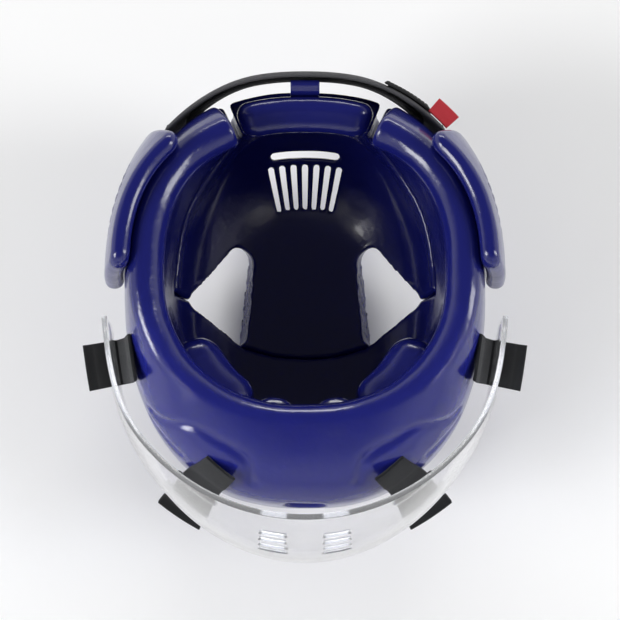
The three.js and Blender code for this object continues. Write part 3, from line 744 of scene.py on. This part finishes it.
@dataclass(frozen=True)
class SheetForm:
    """The face shield's middle surface and its openings, as the CAD part has them."""

    half_angle: float = 77.0
    top_z: float = -65.0
    top_side_z: float = -48.0
    bulge_z: float = 17.0
    chin_z: float = 100.0
    chin_side_z: float = 34.0
    top: tuple[float, float] = (124.0, 135.0)
    bulge: tuple[float, float] = (116.0, 163.0)
    chin: tuple[float, float] = (104.0, 150.0)
    pinch: float = 0.06
    sheet: float = 2.6
    slot_from: float = 6.0
    slot_height: float = 7.0
    slot_half: float = 14.5
    straps: tuple = (-71.0, -31.0, 31.0, 71.0)
    vent_angle: float = 8.0
    vent_length: float = 19.0
    vent_height: float = 4.4
    vent_shares: tuple[float, float] = (0.66, 0.87)
    vent_count: int = 4

    def point(self, angle: Array, share: Array) -> Array:
        """Point at an angle from the front and a share from the top edge to the chin edge.

        Plans are ellipses whose half axes blend from the widest ring to the top or chin edge with
        the square of the way there; the heights of both edges change towards the sides.
        """
        angle, share = np.broadcast_arrays(np.asarray(angle, float), np.asarray(share, float))
        away = np.abs(angle) / math.radians(self.half_angle)
        top = mix(self.top_z, self.top_side_z, clamp_step(away, 0.4, 1.1))
        low = mix(self.chin_side_z, self.chin_z, np.maximum(0, np.cos(away * np.pi / 2)) ** 1.1)
        z = mix(top, low, share)
        above = z < self.bulge_z
        span = np.where(above, self.bulge_z - self.top_z, self.chin_z - self.bulge_z)
        gone = np.abs(z - self.bulge_z) / span
        side = (1 - self.pinch * clamp_step(away, 0.6, 1.0)) * mix(
            self.bulge[0], np.where(above, self.top[0], self.chin[0]), gone**2
        )
        front = mix(self.bulge[1], np.where(above, self.top[1], self.chin[1]), gone**2)
        return np.stack([side * np.sin(angle), -front * np.cos(angle), z], -1)

    def frame(self, angle: Array, share: Array) -> tuple[Array, Array, Array]:
        """Unit vectors around the sheet, down it to the chin, and out of it."""
        step = 0.01
        around = unit(self.point(angle + step, share) - self.point(angle - step, share))
        down = unit(self.point(angle, share + step) - self.point(angle, share - step))
        out = unit(np.cross(around, down))
        return around, unit(np.cross(out, around)), out

    def offset(self, angle: Array, share: Array, height: Array) -> Array:
        """Point at a height above the middle surface."""
        return self.point(angle, share) + self.frame(angle, share)[2] * np.asarray(height)[..., None]

    def drop(self, angle: Array) -> Array:
        """Length from the top edge to the chin edge at an angle."""
        angle = np.asarray(angle, float)
        marks = np.stack([self.point(angle, i / 20) for i in range(21)])
        return np.linalg.norm(np.diff(marks, axis=0), axis=-1).sum(0)

    def local(self, point: Array, angle: float) -> tuple[float, float]:
        """Height above the sheet and distance from its top edge of a point, by repeated steps."""
        drop = float(self.drop(angle))
        height = along = 0.0
        for _ in range(12):
            _, down, out = self.frame(angle, along / drop)
            miss = point - self.offset(angle, along / drop, height)
            height += float(miss @ out)
            along += float(miss @ down)
        return height, along

    def material(self, angle: Array, share: Array) -> Array:
        """Distance in mm inside the trimmed sheet, negative in its openings and outside it."""
        drop = self.drop(angle)
        across, along = angle * 128.0, share * drop
        half = math.radians(self.half_angle) * 128.0
        kept = -soft_box(across, along - drop / 2, half, drop / 2, 9.0)
        for middle in self.straps:
            reach = np.hypot(*self.point(math.radians(middle), 0.05)[:2])
            x = (angle - math.radians(middle)) * reach
            y = along - self.slot_from - self.slot_height / 2
            kept = np.minimum(kept, soft_box(x, y, self.slot_half, self.slot_height / 2, 2.5))
        for side in (-1, 1):
            middle = side * math.radians(self.vent_angle)
            reach = np.hypot(*self.point(middle, 0.76)[:2])
            x = (angle - middle) * reach
            for i in range(self.vent_count):
                size = self.vent_height / drop
                start = mix(self.vent_shares[0], self.vent_shares[1] - size, i / (self.vent_count - 1))
                y = (share - start - size / 2) * drop
                kept = np.minimum(kept, soft_box(x, y, self.vent_length / 2, self.vent_height / 2, 1.6))
        return kept

    def grid(self, coarse: float) -> tuple[Array, Array]:
        """Points and quads of the trimmed middle surface.

        Cells whose middle lies in the material are kept, and points on the border of the kept
        cells are moved onto the trim line along the slope of its distance.
        """
        half = math.radians(self.half_angle)
        fine = np.abs(np.degrees(np.linspace(-half, half, 4001)))
        dense = np.where(np.abs(fine - self.vent_angle) < 5.2, 1.0, 1.9) * coarse
        ticks = np.concatenate([[0], np.cumsum(1 / dense[1:])])
        columns = int(2 * half * 128 / 4000 * ticks[-1])
        angles = np.interp(np.linspace(0, ticks[-1], columns), ticks, np.linspace(-half, half, 4001))
        rows = int(190 / (1.25 * coarse))
        a, s = np.meshgrid(angles, np.linspace(0, 1, rows), indexing="ij")
        kept = self.material((a[:-1, :-1] + a[1:, 1:]) / 2, (s[:-1, :-1] + s[1:, 1:]) / 2) > 0
        number = np.arange(a.size).reshape(a.shape)
        quads = np.stack([number[:-1, :-1], number[1:, :-1], number[1:, 1:], number[:-1, 1:]], -1)[kept]
        uses = np.bincount(quads.ravel(), minlength=a.size).reshape(a.shape)
        border = (uses > 0) & (uses < 4)
        ba, bs = a[border], s[border]
        drop = self.drop(ba)
        for _ in range(4):
            value = self.material(ba, bs)
            da = (self.material(ba + 0.001, bs) - value) / 0.001
            ds = (self.material(ba, bs + 0.001) - value) / 0.001
            slope = (da / 128) ** 2 + (ds / drop) ** 2
            size = np.maximum(slope, 0.3)
            ba = np.clip(ba - np.clip(value / size, -1, 1) * da / 128**2, -half, half)
            bs = np.clip(bs - np.clip(value / size, -1, 1) * ds / drop**2, 0, 1)
        a[border], s[border] = ba, bs
        used, inverse = np.unique(quads, return_inverse=True)
        return self.point(a.ravel()[used], s.ravel()[used]), inverse.reshape(quads.shape)


SHEET = SheetForm()


# Bands.


def cross_section(width: float, thickness: float, radius: float, steps: int = 14) -> tuple[Array, Array]:
    """Outline of a band's section, with its corners rounded.

    Args:
        width: Width of the band.
        thickness: Thickness.
        radius: Corner radius.
        steps: Steps over the width.

    Returns:
        Places across the width and through the thickness.
    """
    turn = np.linspace(0, np.pi / 2, 4)
    x = np.linspace(-width / 2 + radius, width / 2 - radius, steps + 1)
    top = np.full(steps + 1, thickness / 2)
    cx, cy = width / 2 - radius, thickness / 2 - radius
    right = np.stack([cx + radius * np.sin(turn[1:]), cy + radius * np.cos(turn[1:])])
    half = np.concatenate([np.stack([x, top]), right], axis=1)
    low = np.stack([half[0][::-1], -half[1][::-1]])
    under = np.stack([x[::-1], -top])
    return tuple(np.concatenate([half, low[:, :3], under, left_corner(cx, cy, radius)], axis=1))


def left_corner(cx: float, cy: float, radius: float) -> Array:
    """The two rounded corners on the left of a band's section, from below to above."""
    turn = np.linspace(0, np.pi / 2, 4)[1:]
    below = np.stack([-cx - radius * np.sin(turn), -cy - radius * np.cos(turn)])
    above = np.stack([-cx - radius * np.cos(turn[:-1]), cy + radius * np.sin(turn[:-1])])
    return np.concatenate([below, above], axis=1)


def path_normals(path: Array, closed: bool) -> Array:
    """Unit normals of a flat path, to the left of its direction."""
    if closed:
        along = np.roll(path, -1, axis=0) - np.roll(path, 1, axis=0)
    else:
        along = np.gradient(path, axis=0)
    along = unit(along)
    return np.stack([-along[:, 1], along[:, 0]], -1)


def even_path(path: Array, step: float, closed: bool = False) -> Array:
    """A flat path with points at an even distance."""
    ring = np.concatenate([path, path[:1]]) if closed else path
    length = np.concatenate([[0], np.cumsum(np.linalg.norm(np.diff(ring, axis=0), axis=-1))])
    marks = np.linspace(0, length[-1], max(3, int(length[-1] / step)) + 1)
    out = np.stack([np.interp(marks, length, ring[:, i]) for i in range(2)], -1)
    return out[:-1] if closed else out


def band_mesh(
    path: Array,
    width: float,
    thickness: float,
    bend: Callable[[Array, Array, Array], Array],
    closed: bool = False,
) -> tuple[Array, Array, Array]:
    """Points, quads and texture places of a band swept along a flat path.

    Args:
        path: Flat path of the band's middle.
        width: Width of the band.
        thickness: Thickness.
        bend: Turns place across, and the two coordinates of the path's plane, into points.
        closed: Whether the path is a ring.

    Returns:
        Points, quads and their texture places in mm.
    """
    path = even_path(path, 0.9, closed)
    across, through = cross_section(width, thickness, min(0.6, thickness * 0.45))
    normal = path_normals(path, closed)
    n, m = len(path), len(across)
    flat = path[:, None, :] + normal[:, None, :] * through[None, :, None]
    wide = np.broadcast_to(across, (n, m))
    points = bend(wide.ravel(), flat[..., 0].ravel(), flat[..., 1].ravel())
    number = np.arange(n * m).reshape(n, m)
    ring = np.concatenate([number, number[:, :1]], axis=1)
    rows = np.concatenate([ring, ring[:1]]) if closed else ring
    quads = np.stack([rows[:-1, :-1], rows[1:, :-1], rows[1:, 1:], rows[:-1, 1:]], -1).reshape(-1, 4)
    if not closed:
        for cap, turned in ((number[0], False), (number[-1], True)):
            j = np.arange(m // 2 - 1)
            quad = np.stack([cap[j], cap[j + 1], cap[m - 2 - j], cap[m - 1 - j]], -1)
            quads = np.concatenate([quads, quad[:, ::-1] if turned else quad])
    length = np.concatenate([[0], np.cumsum(np.linalg.norm(np.diff(path, axis=0), axis=-1))])
    uv = np.stack([wide, np.broadcast_to(length[:, None], (n, m))], -1).reshape(-1, 2)
    return points, face_out(points, quads), uv


def joined(parts: Sequence[tuple[Array, Array, Array]]) -> tuple[Array, Array, Array]:
    """Several meshes as one."""
    starts = np.cumsum([0] + [len(p[0]) for p in parts[:-1]])
    points, uv = (np.concatenate([p[i] for p in parts]) for i in (0, 2))
    return points, np.concatenate([p[1] + start for p, start in zip(parts, starts)]), uv


@dataclass(frozen=True)
class StrapForm:
    """A hook-and-loop strap of the shield."""

    width: float = 25.0
    ply: float = 1.9
    gap: float = 0.6
    leaf_polar: float = 16.0
    seat: float = 0.7
    reach_out: float = 14.0
    upper_rises: tuple = (2.2, 2.3, 3.4, 3.5)
    lower_rises: tuple = (1.3, 1.5, 2.1, 1.8)

    def parts(self, angle_deg: float) -> tuple[Array, Array, Array]:
        """The loop through the slot, the leaf on the shell and the two plies that stand out."""
        mid = math.radians(angle_deg)
        drop = float(SHEET.drop(mid))
        t, near = self.ply, SHEET.sheet / 2 + self.gap
        far = SHEET.slot_from + (SHEET.slot_height + t) / 2
        x, low, high = near + t / 2, -self.gap - t / 2, far - t / 2
        loop = rounded_outline(((-x, low), (x, low), (x, high), (-x, high)), 3.0)
        top = SHEET.point(mid, 0.0)
        azimuth = math.atan2(top[0], -top[1])
        polar = np.pi / 2 + math.atan2(top[2] + SHELL.equator, float(SHELL.shell_reach(azimuth)))
        leaf = []
        for i in range(4):
            at = polar + math.radians(self.leaf_polar * (1 - i / 6))
            leaf.append(SHEET.local(SHELL.shell_point(azimuth, at, np.array(-(self.seat + t / 2))), mid))
        leaf.append((-near - t / 2, far - t))
        out = self.reach_out
        steps = (x, x + t + 0.3 * out, x + 0.65 * out, x + out)
        upper = [(step, far - rise * t) for step, rise in zip(steps, self.upper_rises)]
        lower = [(step, far - rise * t) for step, rise in zip(steps, self.lower_rises)]
        arc = np.linalg.norm(SHEET.point(mid + 0.01, 0.0) - SHEET.point(mid - 0.01, 0.0)) / 0.02

        def bend(across: Array, height: Array, along: Array) -> Array:
            return SHEET.offset(mid + across / arc, along / drop, height)

        return joined(
            [
                band_mesh(loop, self.width, t, bend, closed=True),
                band_mesh(smooth_line(leaf), self.width, t, bend),
                band_mesh(smooth_line(upper), self.width - 0.6, t * 0.8, bend),
                band_mesh(smooth_line(lower), self.width - 0.2, t * 0.8, bend),
            ]
        )


@dataclass(frozen=True)
class ElasticForm:
    """The elastic round the back and the pieces on it."""

    width: float = 40.0
    thickness: float = 3.0
    mid_z: float = -41.0
    angles: tuple[float, float] = (136.5, 223.5)
    stand_off: float = 9.0
    end_gap: float = 2.35
    upright: float = 0.25
    tilt: float = 3.5

    def point(self, angle_deg: Array, across: Array, height: Array) -> Array:
        """Point by angle, share of the half width and height above the inner face."""
        azimuth = np.radians(angle_deg)
        mid = sum(self.angles) / 2
        away = np.abs(angle_deg - mid) / (self.angles[1] - mid)
        lift = (self.stand_off - self.tilt * (across + 1)) * (1 - clamp_step(away, 0.3, 1.0))
        z = self.mid_z + across * self.width / 2
        reach = SHELL.shell_reach(azimuth)
        base = SHELL.outer_point(azimuth, np.pi / 2 + np.arctan2(z + SHELL.equator, reach))
        far = mix(np.hypot(base[..., 0], base[..., 1]), reach, self.upright) + lift + self.end_gap + height
        return np.stack([far * np.sin(azimuth), -far * np.cos(azimuth), z], -1)

    def band(
        self, start: float, end: float, base: float, thickness: float, share: float
    ) -> tuple[Array, Array, Array]:
        """Closed band with rounded edges between two angles.

        Args:
            start: Angle of one end in degrees.
            end: Angle of the other end.
            base: Height of its underside above the elastic's inner face.
            thickness: Thickness.
            share: Share of the elastic's width that it covers.

        Returns:
            Points, quads and their texture places in mm.
        """
        u, v, side, quads = slab_grid(max(12, int((end - start) * 2.6)), 26)
        v = np.sin(v * np.pi / 2)
        edge = np.sqrt(1 - np.abs(v) ** 14) * np.sqrt(1 - np.abs(u) ** 90)
        angle = mix(start, end, (u + 1) / 2)
        height = base + thickness / 2 * (1 + side * edge)
        points = self.point(angle, v * share, height)
        uv = np.stack([v * share * self.width / 2, np.radians(angle) * 119.0], -1)
        return points, face_out(points, quads), uv


ELASTIC = ElasticForm()


# Depth in mm of the tab's foot on the neck pad, and its middle's height above the elastic's inner face.
TAB_DEPTH, TAB_BEHIND = 2.725, -5.8


def tab_mesh() -> tuple[Array, Array, Array]:
    """The vinyl tab from the neck pad up behind the elastic."""
    rim = float(SHELL.rim_polar(np.array(np.pi)))
    depth = np.array(TAB_DEPTH)
    foot, start = (SHELL.shell_point(np.pi, np.array(rim - b), depth)[1:] for b in (0.5, 0.36))
    behind = np.array(TAB_BEHIND)
    high, low = (ELASTIC.point(np.array(180.0), np.array(a), behind)[1:] for a in (0.4, -0.3))
    route = (
        foot,
        start,
        (mix(start[0], high[0], 0.4), mix(start[1], -26.0, 0.8)),
        (mix(start[0], high[0], 0.8), -26.0),
        high,
        low,
    )
    path = smooth_line([tuple(mark) for mark in route])
    return band_mesh(path, 17.0, 3.0, lambda across, y, z: np.stack([across, y, z], -1))


def tag_mesh() -> tuple[Array, Array, Array]:
    """The folded tag, a loop of tape that stands out from the elastic's end."""
    out, droop, gap = 11.0, 0.35, 0.55
    low = -droop * out
    marks = ((0.2, gap), (out - 0.6, gap + low), (out - 0.2, low), (out - 0.6, low - gap), (0.2, -gap))

    def bend(across: Array, reach: Array, rise: Array) -> Array:
        angle = 140.1 + np.degrees(across / 104.0)
        return ELASTIC.point(angle, (17.0 + rise) / 20.0, 3.35 + reach)

    return band_mesh(np.array(marks), 12.6, 0.5, bend)


# Half length and radius of a stitch in mm.
STITCH_HALF, STITCH_RADIUS = 1.05, 0.34


def stitch_mesh(lines: Sequence[Array], pitch: float = 3.0) -> tuple[Array, Array, Array]:
    """Short rounded stitches along lines of points.

    Args:
        lines: Each a polyline of N by 3 points on the surface.
        pitch: Distance from stitch to stitch.

    Returns:
        Points, quads and texture places of all the stitches.
    """
    parts = []
    ring = np.linspace(0, 2 * np.pi, 6, endpoint=False)
    shares, sizes = np.array([-1.0, -0.8, 0.0, 0.8, 1.0]), np.array([0.35, 0.85, 1.0, 0.85, 0.35])
    for line in lines:
        length = np.concatenate([[0], np.cumsum(np.linalg.norm(np.diff(line, axis=0), axis=-1))])
        marks = np.arange(pitch / 2, length[-1], pitch)
        middle = np.stack([np.interp(marks, length, line[:, i]) for i in range(3)], -1)
        ahead = np.stack([np.interp(marks + 0.3, length, line[:, i]) for i in range(3)], -1)
        for centre, along in zip(middle, unit(ahead - middle)):
            side = unit(np.cross(along, [0.3, 0.4, 0.9]))
            up = np.cross(side, along)
            circle = np.cos(ring)[:, None] * side + np.sin(ring)[:, None] * up
            core = centre + along * (shares * STITCH_HALF)[:, None, None]
            points = core + circle[None] * (STITCH_RADIUS * sizes)[:, None, None]
            number = np.arange(30).reshape(5, 6)
            wrap = np.concatenate([number, number[:, :1]], axis=1)
            quads = np.stack([wrap[:-1, :-1], wrap[1:, :-1], wrap[1:, 1:], wrap[:-1, 1:]], -1).reshape(-1, 4)
            caps = [[n[0], n[1], n[2], n[3]] for n in (number[0], number[-1])]
            caps += [[n[0], n[3], n[4], n[5]] for n in (number[0], number[-1])]
            points = points.reshape(-1, 3)
            parts.append((points, face_out(points, np.concatenate([quads, caps])), np.zeros((30, 2))))
    return joined(parts)


# Materials.


def linear(code: str) -> tuple[float, float, float, float]:
    """A scene-linear colour from an sRGB hex code."""
    parts = [int(code[i : i + 2], 16) / 255 for i in (1, 3, 5)]
    return (*[c / 12.92 if c <= 0.04045 else ((c + 0.055) / 1.055) ** 2.4 for c in parts], 1.0)


class Cloth(Enum):
    """Kinds of woven surface."""

    KNIT = "knit"
    LOOP = "loop"
    TAPE = "tape"


class Finish:
    """Builder of one material, with a shader and nodes that it adds one by one."""

    def __init__(self, name: str, colour: str, roughness: float) -> None:
        self.material = bpy.data.materials.new(name)
        self.material.use_nodes = True
        self.tree = self.material.node_tree
        self.shader = self.tree.nodes["Principled BSDF"]
        self.output = self.tree.nodes["Material Output"]
        self.shader.inputs["Base Color"].default_value = linear(colour)
        self.shader.inputs["Roughness"].default_value = roughness

    def node(self, kind: str, links: dict | None = None, **values: object) -> bpy.types.Node:
        """Adds a node.

        Args:
            kind: Node type.
            links: Output sockets to link, by the name or number of the input.
            values: Node settings, or input values where the node has such an input.

        Returns:
            The node.
        """
        made = self.tree.nodes.new(kind)
        for key, value in values.items():
            label = key.replace("_", " ").title()
            if label in made.inputs:
                made.inputs[label].default_value = value
            else:
                setattr(made, key, value)
        for key, socket in (links or {}).items():
            self.tree.links.new(socket, made.inputs[key])
        return made

    def link(self, socket: bpy.types.NodeSocket, name: str) -> None:
        """Links a socket to an input of the shader."""
        self.tree.links.new(socket, self.shader.inputs[name])

    def bump(self, layers: Sequence[tuple[bpy.types.NodeSocket, float]]) -> None:
        """Stacks bump layers, each a height and its distance in mm."""
        last = None
        for height, size in layers:
            links = {"Height": height}
            if last is not None:
                links["Normal"] = last
            last = self.node("ShaderNodeBump", links, strength=1.0, distance=size * MM).outputs["Normal"]
        self.link(last, "Normal")


def vinyl(name: str = "navy_vinyl") -> bpy.types.Material:
    """Glossy navy vinyl skin dipped over foam, with slow dimples, wrinkles and fine orange peel."""
    f = Finish(name, "#171B66", 0.2)
    place = f.node("ShaderNodeTexCoord").outputs["Object"]
    dimple = f.node("ShaderNodeTexNoise", {"Vector": place}, scale=55.0, detail=2.0)
    wrinkle = f.node("ShaderNodeTexNoise", {"Vector": place}, scale=160.0, detail=3.0, distortion=1.2)
    peel = f.node("ShaderNodeTexNoise", {"Vector": place}, scale=900.0, detail=1.0)
    f.bump([(dimple.outputs[0], 0.55), (wrinkle.outputs[0], 0.16), (peel.outputs[0], 0.015)])
    f.shader.inputs["Coat Weight"].default_value = 0.25
    f.shader.inputs["Coat Roughness"].default_value = 0.07
    f.shader.inputs["Specular IOR Level"].default_value = 0.5
    return f.material


def cloth(name: str, kind: Cloth, colour: str, thread: str, roughness: float) -> bpy.types.Material:
    """Woven or knitted tape: crossing ribs on the band's own mm places, with a darker ground."""
    f = Finish(name, colour, roughness)
    place = f.node("ShaderNodeUVMap", uv_map="mm").outputs["UV"]
    pitch = {Cloth.KNIT: (1.0, 1.5), Cloth.LOOP: (1.9, 2.3), Cloth.TAPE: (0.7, 0.7)}[kind]
    waves = []
    for axis, size in zip("XY", pitch):
        scale = 5.0 / (size * math.pi)
        wave = f.node("ShaderNodeTexWave", {"Vector": place}, bands_direction=axis, scale=scale)
        waves.append(wave.outputs["Fac"])
    weave = f.node("ShaderNodeMath", {0: waves[0], 1: waves[1]}, operation="MULTIPLY").outputs[0]
    fuzz = f.node("ShaderNodeTexNoise", {"Vector": place}, scale=1.6, detail=4.0).outputs[0]
    height = f.node("ShaderNodeMath", {0: weave, 1: fuzz}, operation="ADD").outputs[0]
    blend = f.node("ShaderNodeMix", {"Factor": height}, data_type="RGBA")
    blend.inputs[6].default_value = linear(colour)
    blend.inputs[7].default_value = linear(thread)
    f.link(blend.outputs[2], "Base Color")
    f.bump([(height, 0.35 if kind is Cloth.LOOP else 0.22)])
    f.shader.inputs["Sheen Weight"].default_value = 0.12
    f.shader.inputs["Specular IOR Level"].default_value = 0.25
    return f.material


def clear(name: str, colour: str, roughness: float, body: float) -> bpy.types.Material:
    """Clear polycarbonate, which lets shadow rays straight through.

    Args:
        name: Material name.
        colour: Tint.
        roughness: Roughness of the surface.
        body: Share of the light that goes through as glass.
    """
    f = Finish(name, colour, roughness)
    f.shader.inputs["Transmission Weight"].default_value = body
    f.shader.inputs["IOR"].default_value = 1.5
    ray = f.node("ShaderNodeLightPath").outputs["Is Shadow Ray"]
    through = f.node("ShaderNodeBsdfTransparent", color=linear("#EEF0F4"))
    both = f.node("ShaderNodeMixShader", {0: ray, 1: f.shader.outputs[0], 2: through.outputs[0]})
    f.tree.links.new(both.outputs[0], f.output.inputs["Surface"])
    return f.material


class Headgear:
    """The whole headgear, with one method for each sub-assembly."""

    def __init__(self, pitch: float) -> None:
        self.pitch = pitch
        self.vinyl = vinyl()
        self.webbing = cloth("black_hook_and_loop", Cloth.LOOP, "#08080A", "#1E1F22", 0.9)
        self.knit = cloth("grey_knit_elastic", Cloth.KNIT, "#2C2C2F", "#5A5A5E", 0.85)
        self.tape = cloth("red_woven_tape", Cloth.TAPE, "#C01626", "#E2263A", 0.7)
        self.thread = cloth("black_thread", Cloth.TAPE, "#0E0E10", "#2C2C30", 0.6)

    def add(
        self,
        name: str,
        mesh: tuple[Array, Array, Array] | tuple[Array, Array],
        material: bpy.types.Material,
        slot: str,
        stands_for: Sequence[str] = (),
    ) -> bpy.types.Object:
        """Makes a piece that rides on the root body and hides the CAD nodes it stands for."""
        obj = new_object(name, mesh[0], mesh[1])
        if len(mesh) > 2:
            set_uv(obj, mesh[2])
        obj.data.materials.append(material)
        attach(obj, "root")
        if stands_for:
            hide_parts(*stands_for)
        log.info("%s: %d points, %d faces", name, len(mesh[0]), len(mesh[1]))
        return obj

    def foam(self) -> None:
        """The dipped band, the crown flap and the pads."""
        body = FoamBody(FoamCuts())
        low, high = np.array([-110.0, -134.0, -166.0]), np.array([110.0, 126.0, 22.0])
        band = surface_net(body.field(False), low, high, self.pitch)
        self.add("foam_band", band, self.vinyl, "vinyl_foam", ["front_band"])
        low, high = np.array([-100.0, -60.0, -166.0]), np.array([100.0, 126.0, 10.0])
        flap = surface_net(body.field(True), low, high, self.pitch)
        self.add("foam_flap", flap, self.vinyl, "vinyl_foam", ["crown_flap"])
        for form in PADS:
            mesh = surface_net(form.field, *form.bounds(), self.pitch * 0.8)
            self.add(form.node + "_skin", mesh, self.vinyl, "vinyl_foam", [form.node])

    def shield(self) -> None:
        """The clear sheet with its cut edges."""
        mesh = SHEET.grid(self.pitch / 1.5)
        glass = clear("clear_polycarbonate", "#FFFFFF", 0.02, 1.0)
        obj = self.add("clear_sheet", mesh, glass, "clear_sheet", ["face_shield"])
        obj.data.materials.append(clear("polycarbonate_cut_edge", "#F4F6FA", 0.22, 0.75))
        thick = obj.modifiers.new("sheet", "SOLIDIFY")
        thick.thickness = SHEET.sheet * MM
        thick.offset = 0.0
        thick.use_even_offset = True
        thick.material_offset_rim = 1
        ease = obj.modifiers.new("eased_edge", "BEVEL")
        ease.width = 0.35 * MM
        ease.segments = 2
        ease.limit_method = "ANGLE"
        ease.angle_limit = math.radians(50)
        ease.material = 1

    def straps(self) -> None:
        """The four straps of the shield and their stitching."""
        form = StrapForm()
        names = ("side_left", "front_left", "front_right", "side_right")
        seams = []
        for word, angle in zip(names, SHEET.straps):
            mesh = form.parts(angle)
            obj = self.add(f"strap_{word}", mesh, self.webbing, "hook_webbing", [f"shield_strap_{word}"])
            seams += self.strap_seams(form, angle)
        self.add("strap_stitching", stitch_mesh(seams, 2.6), self.thread, "hook_webbing")

    def strap_seams(self, form: StrapForm, angle_deg: float) -> list[Array]:
        """Stitch lines over the front of a strap's loop."""
        mid = math.radians(angle_deg)
        drop = float(SHEET.drop(mid))
        arc = np.linalg.norm(SHEET.point(mid + 0.01, 0.0) - SHEET.point(mid - 0.01, 0.0)) / 0.02
        across = np.linspace(-form.width / 2 + 2, form.width / 2 - 2, 30)
        height = SHEET.sheet / 2 + form.gap + form.ply + 0.1
        return [SHEET.offset(mid + across / arc, 1.0 / drop, np.full(30, height))]

    def back(self) -> None:
        """The elastic, its end patch, the strap behind it, the tab and the tag."""
        elastic = ELASTIC.band(*ELASTIC.angles, 0.0, ELASTIC.thickness, 1.0)
        obj = self.add("knit_elastic", elastic, self.knit, "elastic_knit", ["rear_elastic_strap"])
        patch = ELASTIC.band(143.8, 158.0, 3.6, 2.2, 0.97)
        obj = self.add("end_patch", patch, self.webbing, "hook_webbing", ["strap_end_patch"])
        inner = ELASTIC.band(144.0, 216.0, -3.0, 2.2, 0.5)
        obj = self.add("inner_band", inner, self.webbing, "hook_webbing", ["inner_strap"])
        self.add("vinyl_tab", tab_mesh(), self.vinyl, "vinyl_foam", ["back_tab"])
        obj = self.add("folded_tag", tag_mesh(), self.tape, "tag_weave", ["side_tag"])
        v = np.linspace(-0.9, 0.9, 40)
        lines = [ELASTIC.point(np.full(40, 157.2), v, np.full(40, 5.85))]
        lines += [ELASTIC.point(np.full(40, a), v, np.full(40, 3.05)) for a in (138.0, 222.0)]
        for edge in (-0.92, 0.92):
            lines.append(ELASTIC.point(np.linspace(144.4, 157.2, 40), np.full(40, edge), np.full(40, 5.85)))
        self.add("elastic_stitching", stitch_mesh(lines, 2.6), self.thread, "hook_webbing")


class Studio:
    """Floor, lights and camera of the photograph."""

    def __init__(self) -> None:
        self.scene = bpy.context.scene

    def floor(self) -> None:
        """Wide pale floor that the object lies on."""
        finish = Finish("pale_floor", "#FCFCFC", 0.9)
        finish.shader.inputs["Specular IOR Level"].default_value = 0.1
        size = 6.0
        mesh = bpy.data.meshes.new("floor")
        corners = [(-size, -size, 0), (size, -size, 0), (size, size, 0), (-size, size, 0)]
        mesh.from_pydata(corners, [], [(0, 1, 2, 3)])
        obj = bpy.data.objects.new("floor", mesh)
        mesh.materials.append(finish.material)
        self.scene.collection.objects.link(obj)

    def light(self, name: str, place: tuple, target: tuple, size: tuple, watts: float) -> None:
        """Adds a rectangular softbox that faces a target."""
        data = bpy.data.lights.new(name, "AREA")
        data.shape = "RECTANGLE"
        data.size, data.size_y = size
        data.energy = watts
        obj = bpy.data.objects.new(name, data)
        obj.location = place
        obj.rotation_euler = (Vector(target) - Vector(place)).to_track_quat("-Z", "Y").to_euler()
        self.scene.collection.objects.link(obj)

    def sky(self, low: float, overhead: float) -> None:
        """Pale light from all round that falls off overhead, so the deep bowl stays dark."""
        world = bpy.data.worlds.new("studio")
        world.use_nodes = True
        tree = world.node_tree
        place = tree.nodes.new("ShaderNodeTexCoord")
        height = tree.nodes.new("ShaderNodeSeparateXYZ")
        ease = tree.nodes.new("ShaderNodeMapRange")
        ease.interpolation_type = "SMOOTHSTEP"
        for name, value in (("From Min", 0.3), ("From Max", 0.8), ("To Min", low), ("To Max", overhead)):
            ease.inputs[name].default_value = value
        background = tree.nodes["Background"]
        background.inputs["Color"].default_value = linear("#F0F0F0")
        tree.links.new(place.outputs["Generated"], height.inputs[0])
        tree.links.new(height.outputs["Z"], ease.inputs["Value"])
        tree.links.new(ease.outputs["Result"], background.inputs["Strength"])
        self.scene.world = world

    def camera(self) -> None:
        """The photograph's view: 70 degrees above the floor, from the face side."""
        elevation, away = math.radians(70), 0.900
        target = Vector((0.0, 0.01393, 0.16073))
        look = Vector((0.0, math.cos(elevation), -math.sin(elevation)))
        data = bpy.data.cameras.new("camera")
        data.lens = 94.99
        data.sensor_width = 36.0
        data.shift_x, data.shift_y = 0.0081, -0.0774
        obj = bpy.data.objects.new("camera", data)
        obj.location = target - look * away
        obj.rotation_euler = look.to_track_quat("-Z", "Y").to_euler()
        self.scene.collection.objects.link(obj)
        self.scene.camera = obj

    def build(self) -> None:
        """Sets up the whole studio."""
        self.floor()
        self.sky(1.0, 0.1)
        self.light("key", (-1.9, -0.9, 1.5), (0, 0, 0.1), (1.0, 1.0), 36)
        self.light("fill", (2.1, -0.3, 1.4), (0, 0, 0.1), (0.8, 1.4), 27)
        self.light("back", (0.1, 2.2, 1.3), (0, 0, 0.15), (1.6, 0.5), 22)
        self.scene.view_settings.view_transform = "Standard"
        self.camera()


def main() -> None:
    """Builds the headgear and the studio, and notes the sizes."""
    logging.basicConfig(level=logging.INFO, format="%(message)s")
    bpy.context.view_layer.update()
    gear = Headgear(1.5)
    gear.foam()
    gear.shield()
    gear.straps()
    gear.back()
    Studio().build()


if __name__ == "__main__":
    main()
